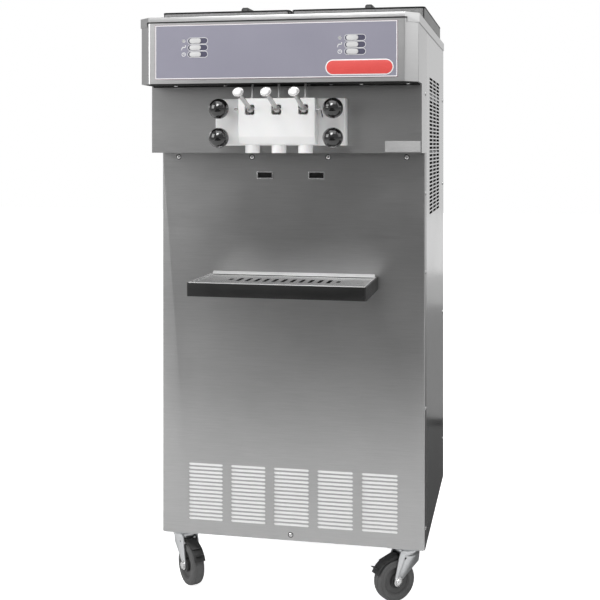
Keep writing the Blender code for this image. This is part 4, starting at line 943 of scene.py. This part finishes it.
for vertical in ("upper", "lower"):
    for side in ("left", "right"):
        corner = vertical + "_" + side
        label = vertical + side.capitalize()
        low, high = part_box("door_knob_" + corner)
        x, z = (low.x + high.x) / 2, (low.z + high.z) / 2
        knob = twin(ball, label + "Knob", Matrix.Translation((x, low.y + knobs["radius"], z)) @ facing)
        finishPiece(knob, "knob_" + corner, "knobBlack", 50, stands=("door_knob_" + corner,))
        ferrule = turnRings(label + "Ferrule", knobs["ferruleRings"], (x, plateFace - 0.0001, z), (0, -1, 0), 28)
        finishPiece(ferrule, "door", "brightSteel")
bpy.data.objects.remove(ball, do_unlink=True)
print("knobs done")


# draw handles: cam end in the pocket, lever and dished thumb pad, smoothed like a casting

handles = {
    "reach": 0.1085,
    "rise": 0.0335,
    "camRadius": 0.0096,
    "camScale": (0.96, 0.86, 1.0),
    "leverRings": [(0.0058, 0.0), (0.0058, 0.018), (0.0053, 0.045), (0.0050, 0.085)],
    "leverTip": [(0.0050, -0.006), (0.0052, 0.0)],      # measured back from the pad
    "padTilt": 54.0,
    "padRadius": 0.0130,
    # shares of the pad's radius and heights over its middle
    "padRings": ((0.62, -0.0050), (0.90, -0.0020), (1.0, 0.0012), (0.99, 0.0030), (0.93, 0.0036),
                 (0.80, 0.0024), (0.5, 0.0012)),
    "padFoot": (0.0050, -0.0062),
    "padMiddle": (0.0010, 0.0008),
    "gussetRings": ((0.0042, 0.0), (0.0062, 0.010), (0.0066, 0.016)),
    "gussetStart": 0.017,
    "gussetDrop": 0.0006,
    "tongueLow": (-0.0025, -0.002, -0.0024),
    "tongueHigh": (0.0025, 0.0250, 0.0024),
    "voxel": 0.0007,
    "rodRadius": 0.0028,
    "collarRings": ((0.0048, 0.0001), (0.0052, 0.0006), (0.0052, 0.0016), (0.0044, 0.0022)),
}
tilt = math.radians(handles["padTilt"])
padCentre = Vector((0, -handles["reach"], handles["rise"]))
padNormal = Vector((0, -math.sin(tilt), math.cos(tilt)))
along = padCentre.normalized()
length = padCentre.length
clearSelection()
bpy.ops.mesh.primitive_uv_sphere_add(segments=32, ring_count=20, radius=handles["camRadius"])
cam = bpy.context.object
cam.scale = handles["camScale"]
settle(cam)
leverRings = handles["leverRings"] + [(radius, length + back) for radius, back in handles["leverTip"]]
lever = turnRings("lever", leverRings, axis=along, sides=24)
padRings = [(share * handles["padRadius"], height) for share, height in handles["padRings"]]
dish = turnRings("dish", [handles["padFoot"], *padRings, handles["padMiddle"]], padCentre, padNormal, 40)
gussetPlace = padCentre - along * handles["gussetStart"] + Vector((0, 0, -handles["gussetDrop"]))
gusset = turnRings("gusset", handles["gussetRings"], gussetPlace, along, 20)
tongue = startBox("tongue", handles["tongueLow"], handles["tongueHigh"])
tongue.data.transform(Matrix.Rotation(-math.atan2(handles["rise"], handles["reach"]), 4, "X"))
casting = joinAll("casting", [cam, lever, dish, gusset, tongue])
applyNew(casting, "fuse", "REMESH", mode="VOXEL", voxel_size=handles["voxel"])
applyNew(casting, "ease", "SMOOTH", factor=0.5, iterations=5)
for side, x in zip(("left", "centre", "right"), spoutsX):
    handle = twin(casting, side + "DrawHandle", Matrix.Translation((x, pivotY, pivotZ)))
    finishPiece(handle, "handle_" + side, "castSteel", 180, stands=("draw_handle_" + side,))
    low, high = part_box("switch_rod_" + side)
    thick = handles["rodRadius"]
    rodRings = [(thick - 0.0006, low.z), (thick, low.z + 0.0008), (thick, high.z - 0.0006),
                (thick - 0.0005, high.z)]
    rod = turnRings(side + "SwitchRod", rodRings, (x, valveY, 0), sides=20)
    finishPiece(rod, "switch_rod_" + side, "rodSteel", 40, stands=("switch_rod_" + side,))
    collarRings = [(radius, doorHigh.z + height) for radius, height in handles["collarRings"]]
    collar = turnRings(side + "RodCollar", collarRings, (x, valveY, 0), sides=24)
    finishPiece(collar, "door", "doorWhite")
bpy.data.objects.remove(casting, do_unlink=True)
print("handles done")


# drip tray and its grid

tray = {
    "corner": 0.0050,
    "shellRadius": 0.0011,
    "gridThick": 0.0012,
    "rimFlat": 0.0033,
    "rimSlope": 0.0027,
    "slots": 13,
    "slotPitch": 0.0217,
    "slotWidth": 0.0092,
    "slotLength": 0.058,
    "endLength": 0.028,
    "bead": 0.0022,
    "beadHeights": (-0.0004, 0.0012),       # over the grid's rim
    "upstand": 0.0062,
    "upstandThick": 0.0105,
    "upstandLean": 0.0084,
}
trayShell = refine("trayShell", "drip_tray")
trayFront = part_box("drip_tray")[0].y
bevelEdges(trayShell, tray["corner"], 5, lambda m, d: isUpright(d) and m.y < trayFront + 0.001)
softEdges(trayShell, tray["shellRadius"], 3, 30)
finishPiece(trayShell, "tray", "trayBlack", 40, stands=("drip_tray",))

gridLow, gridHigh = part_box("splash_grid")
grid = startBox("splashGrid", gridLow, gridHigh)
selectWhere(grid, "FACE", lambda c, n: n.z > 0.9)
bpy.ops.mesh.inset(thickness=tray["rimFlat"], depth=0)
bpy.ops.mesh.inset(thickness=tray["rimSlope"], depth=0)
bpy.ops.transform.translate(value=(0, 0, -(gridHigh.z - gridLow.z - tray["gridThick"])))
leaveEdit()
softEdges(grid, 0.0005, 2, 20)
gridMiddle = (gridLow + gridHigh) / 2
halfSlot = tray["slotWidth"] / 2
cutters = []
for i in range(tray["slots"]):
    x = gridMiddle.x + (i - (tray["slots"] - 1) / 2) * tray["slotPitch"]
    length = tray["endLength"] if i in (0, tray["slots"] - 1) else tray["slotLength"]
    cutter = startBox("slot", (x - halfSlot, gridMiddle.y - length / 2, gridLow.z - past),
                      (x + halfSlot, gridMiddle.y + length / 2, gridHigh.z + past))
    cutters.append(bevelEdges(cutter, halfSlot * 0.998, 5, lambda m, d: isUpright(d)))
carve(grid, joinAll("slots", cutters))
finishPiece(grid, "grid", "gridSteel", 30, stands=("splash_grid",))

# a raised bead round three sides of the grid, and a sloping upstand along its rear
bead = tray["bead"]
beadLow, beadHigh = (gridHigh.z + height for height in tray["beadHeights"])
gridBead = startBox("gridBead", (gridLow.x, gridLow.y, beadLow), (gridHigh.x, gridHigh.y - 0.010, beadHigh))
carve(gridBead, startBox("inner", (gridLow.x + bead, gridLow.y + bead, beadLow - past),
                         (gridHigh.x - bead, gridHigh.y + past, beadHigh + past)))
softEdges(gridBead, 0.0007, 3)
finishPiece(gridBead, "grid", "rodSteel", 40)
upstand = startBox("gridUpstand", (gridLow.x + 0.004, gridHigh.y - tray["upstandThick"], gridHigh.z - 0.0006),
                   (gridHigh.x - 0.004, gridHigh.y - 0.0006, gridHigh.z + tray["upstand"]))
selectWhere(upstand, "VERT", lambda v: v.z > gridHigh.z + 0.001 and v.y < gridHigh.y - 0.005)
bpy.ops.transform.translate(value=(0, tray["upstandLean"], 0))
leaveEdit()
softEdges(upstand, 0.0005, 3, 25)
finishPiece(upstand, "grid", "rodSteel", 40)
print("tray done")


# casters: built once with the wheel trailing along X, then turned to each corner

casters = {
    "trail": 0.038,
    "wheelRadius": 0.0508,
    "crownLow": 0.1095,
    "outerLeg": 0.0213,
    "headings": {"front_right": -143.0, "front_left": -48.7, "rear_right": -112.0, "rear_left": -66.0},
    # half profiles: radius, distance from the wheel's middle
    "tyreRings": [(0.0300, -0.0098), (0.0316, -0.0128), (0.0330, -0.0134), (0.0336, -0.0148), (0.0350, -0.0158),
                  (0.0420, -0.0159), (0.0434, -0.0150), (0.0446, -0.0150), (0.0452, -0.0156), (0.0474, -0.0146),
                  (0.0492, -0.0124), (0.0501, -0.0096), (0.0504, -0.0082), (0.0497, -0.0078), (0.0497, -0.0068),
                  (0.0506, -0.0064), (0.0507, -0.0030)],
    "hubRings": [(0.0046, -0.0176), (0.0090, -0.0178), (0.0096, -0.0168), (0.0112, -0.0166), (0.0120, -0.0176),
                 (0.0156, -0.0178), (0.0164, -0.0170), (0.0168, -0.0104), (0.0200, -0.0088), (0.0232, -0.0086),
                 (0.0240, -0.0096), (0.0256, -0.0096), (0.0264, -0.0086), (0.0306, -0.0090)],
    # distances outwards from the fork's leg, and upwards from the crown's foot
    "nutRings": ((0.0092, 0.0), (0.0092, 0.0040), (0.0084, 0.0052)),
    "boltRings": ((0.0086, 0.0052), (0.0092, 0.0040), (0.0092, 0.0)),
    "stubRings": ((0.0050, 0.0050), (0.0050, 0.0062), (0.0044, 0.0068)),
    "washerRings": ((0.0112, 0.0), (0.0116, 0.0004), (0.0114, 0.0011)),
    "shankRadius": 0.0046,
    "raceRings": ((0.0245, 0.0062), (0.0296, 0.0070), (0.0304, 0.0085), (0.0304, 0.0150), (0.0290, 0.0168),
                  (0.0245, 0.0172)),
}
axleAt = (casters["trail"], 0, casters["wheelRadius"])
outerLeg = casters["outerLeg"]


def onAxle(name, rings, sides):
    return turnRings(name, rings, axleAt, (0, 1, 0), sides)


def outward(ringsName, way):
    return [(radius, way * (outerLeg + height)) for radius, height in casters[ringsName]]


tyre = onAxle("tyre", mirrored(casters["tyreRings"]), 72)
hub = onAxle("hub", mirrored(casters["hubRings"]), 48)
axle = joinAll("axle", [
    onAxle("bolt", outward("boltRings", -1), 6),
    onAxle("nut", outward("nutRings", 1), 6),
    onAxle("stub", outward("stubRings", 1), 20),
    onAxle("shank", [(casters["shankRadius"], -outerLeg), (casters["shankRadius"], outerLeg)], 20),
    onAxle("washer", outward("washerRings", -1), 28),
    onAxle("washer", outward("washerRings", 1), 28),
])
softEdges(axle, 0.0003, 2, 40)
raceRings = [(radius, casters["crownLow"] + height) for radius, height in casters["raceRings"]]
race = turnRings("race", raceRings, sides=48)
for corner, heading in casters["headings"].items():
    body = "caster_" + corner
    pivot = next(j for j in frame["joints"] if j["name"] == "caster_swivel_" + corner)["pos_m"]
    turned = Matrix.Translation((pivot[0], pivot[1], 0)) @ Matrix.Rotation(math.radians(heading), 4, "Z")
    tag = "".join(part.capitalize() for part in corner.split("_"))
    fork = refine("fork" + tag, "caster_fork_" + corner)
    softEdges(fork, 0.0009, 3, 40)
    finishPiece(fork, body, "zincPlate", 40, stands=("caster_fork_" + corner,))
    finishPiece(twin(race, "race" + tag, turned), body, "zincPlate", 40)
    finishPiece(twin(axle, "axle" + tag, turned), body, "brightSteel", 40,
                stands=("caster_axle_" + corner,))
    finishPiece(twin(tyre, "tyre" + tag, turned), "wheel_" + corner, "tyreRubber", 24,
                stands=("caster_wheel_" + corner,))
    finishPiece(twin(hub, "hub" + tag, turned), "wheel_" + corner, "hubBlack", 24)
    if corner.startswith("front"):
        pedal = refine("pedal" + tag, "brake_pedal_" + corner)
        softEdges(pedal, 0.0007, 2, 35)
        finishPiece(pedal, "pedal_" + corner, "pedalBlack", 40,
                    stands=("brake_pedal_" + corner,))
for source in (tyre, hub, axle, race):
    bpy.data.objects.remove(source, do_unlink=True)
print("casters done")


# screws, chute rims, black sheets of painted shade behind the chutes and side vents, and the blank label

small = {
    "screwRings": ((0.0052, 0.0), (0.0052, 0.0006), (0.004472, 0.0016), (0.0026, 0.0024), (0.0004, 0.0025)),
    "recess": (0.0042, 0.0009, 0.0014),     # length, width and floor of the cross in a screw's head
    "recessTurn": 0.3,
    "screwShadowRings": ((0.0068, 0.0), (0.0068, 0.0002), (0.0064, 0.0004)),
    # places of screws on the panels, as x and z, or y from the panel's edge and z
    "frontScrews": {"headScrew1": (-0.288, 1.0766), "headScrew2": (-0.098, 1.0766), "headScrew3": (0.094, 1.0766),
                    "headScrew4": (0.286, 1.0766), "footScrew": (0.0, 0.146)},
    "sideFront": (0.015, (1.230, 0.990, 0.800, 0.470, 0.180)),
    "sideRear": (-0.032, (1.236, 0.995, 0.620, 0.250)),
    "rearX": (-0.305, 0.305),
    "rearZ": (0.16, 0.55, 0.95, 1.34),
    "headerX": (-0.262, -0.140, 0.064, 0.118, 0.190, 0.300),
    "headerZ": 1.2497,
    "chuteX": 0.0648,
    "chuteOuter": (0.01925, 1.0241, 1.0399),        # half width, foot and top
    "chuteInner": (0.0186, 1.0248, 1.0392),
    "chuteShadeBox": (0.0178, 1.0252, 1.0388),
    "chuteRim": 0.0011,
    "ventShadeHeights": (0.915, 1.292),
    "ventShadeInset": 0.060,
    "labelX": (0.2440, 0.3270),
    "labelZ": (1.0900, 1.1157),
}
screwHead = turnRings("screwHead", small["screwRings"], sides=20)
recessLength, recessWidth, recessFloor = small["recess"]
for turn in (0.0, math.pi / 2):
    cutter = startBox("recess", (-recessLength / 2, -recessWidth / 2, recessFloor),
                      (recessLength / 2, recessWidth / 2, past))
    cutter.data.transform(Matrix.Rotation(turn + small["recessTurn"], 4, "Z"))
    carve(screwHead, cutter)


def screwAt(name, place, direction):
    turn = Vector((0, 0, 1)).rotation_difference(Vector(direction)).to_matrix().to_4x4()
    screw = twin(screwHead, name, Matrix.Translation(place) @ turn)
    return finishPiece(screw, "root", "brightSteel", 35)


frontFace, rearFace = frontLow.y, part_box("rear_panel")[1].y
sideX = frontHigh.x
for name, (x, z) in small["frontScrews"].items():
    screwAt(name, (x, frontFace, z), (0, -1, 0))
    # a thin black disc of painted shadow under each front screw
    screwShadow = turnRings(name + "Seat", small["screwShadowRings"], (x, frontFace, z), (0, -1, 0), 28)
    finishPiece(screwShadow, "root", "edgeShadeBlack", 35)
sideRows = ((frontFace, *small["sideFront"]), (rearFace, *small["sideRear"]))
seamPlaces = [(edge + inset, z) for edge, inset, heights in sideRows for z in heights]
for side, sign in (("Right", 1), ("Left", -1)):
    for i, (y, z) in enumerate(seamPlaces):
        screwAt("seamScrew" + side + str(i + 1), (sign * sideX, y, z), (sign, 0, 0))
rearPlaces = [(x, z) for x in small["rearX"] for z in small["rearZ"]]
for i, (x, z) in enumerate(rearPlaces):
    screwAt("rearScrew" + str(i + 1), (x, rearFace, z), (0, 1, 0))
for i, x in enumerate(small["headerX"]):
    y = -0.268 if abs(x) > 0.25 else -0.262
    screwAt("headerScrew" + str(i + 1), (x, y, small["headerZ"]), (0, 0, -1))
bpy.data.objects.remove(screwHead, do_unlink=True)


def chuteBox(name, x, values, front, back, grow=0.0):
    half, foot, top = values
    return startBox(name, (x - half - grow, frontFace + front, foot - grow),
                    (x + half + grow, frontFace + back, top + grow))


ventShadeLow, ventShadeHigh = small["ventShadeHeights"]
for side, sign in (("left", -1), ("right", 1)):
    x = sign * small["chuteX"]
    outerRim = chuteBox(side + "ChuteRim", x, small["chuteOuter"], -0.0024, 0.0001, small["chuteRim"])
    carve(outerRim, chuteBox("inner", x, small["chuteInner"], -past, past))
    softEdges(outerRim, 0.0006, 2)
    finishPiece(outerRim, "root", "brightSteel", 35)
    # a black box of painted shade just behind each chute opening
    chuteShade = chuteBox(side + "ChuteShade", x, small["chuteShadeBox"], 0.0004, 0.0030)
    softEdges(chuteShade, 0.0005)
    finishPiece(chuteShade, "root", "shadeBlack")
# black sheets of painted shade inside each side panel, so that the vent slots read dark
for side, sign in (("left", -1), ("right", 1)):
    near, far = sorted((sign * (sideX - 0.0060), sign * (sideX - 0.0052)))
    ventShade = startBox(side + "VentShade", (near, frontFace + small["ventShadeInset"], ventShadeLow),
                     (far, rearFace - small["ventShadeInset"], ventShadeHigh))
    softEdges(ventShade, 0.0002)
    finishPiece(ventShade, "root", "shadeBlack")

labelX, labelZ = small["labelX"], small["labelZ"]
label = startBox("blankLabel", (labelX[0], panelLow.y - 0.0006, labelZ[0]),
                 (labelX[1], panelLow.y + 0.0002, labelZ[1]))
softEdges(label, 0.0002, 2)
finishPiece(label, "root", "labelPaper")
print("small parts done")
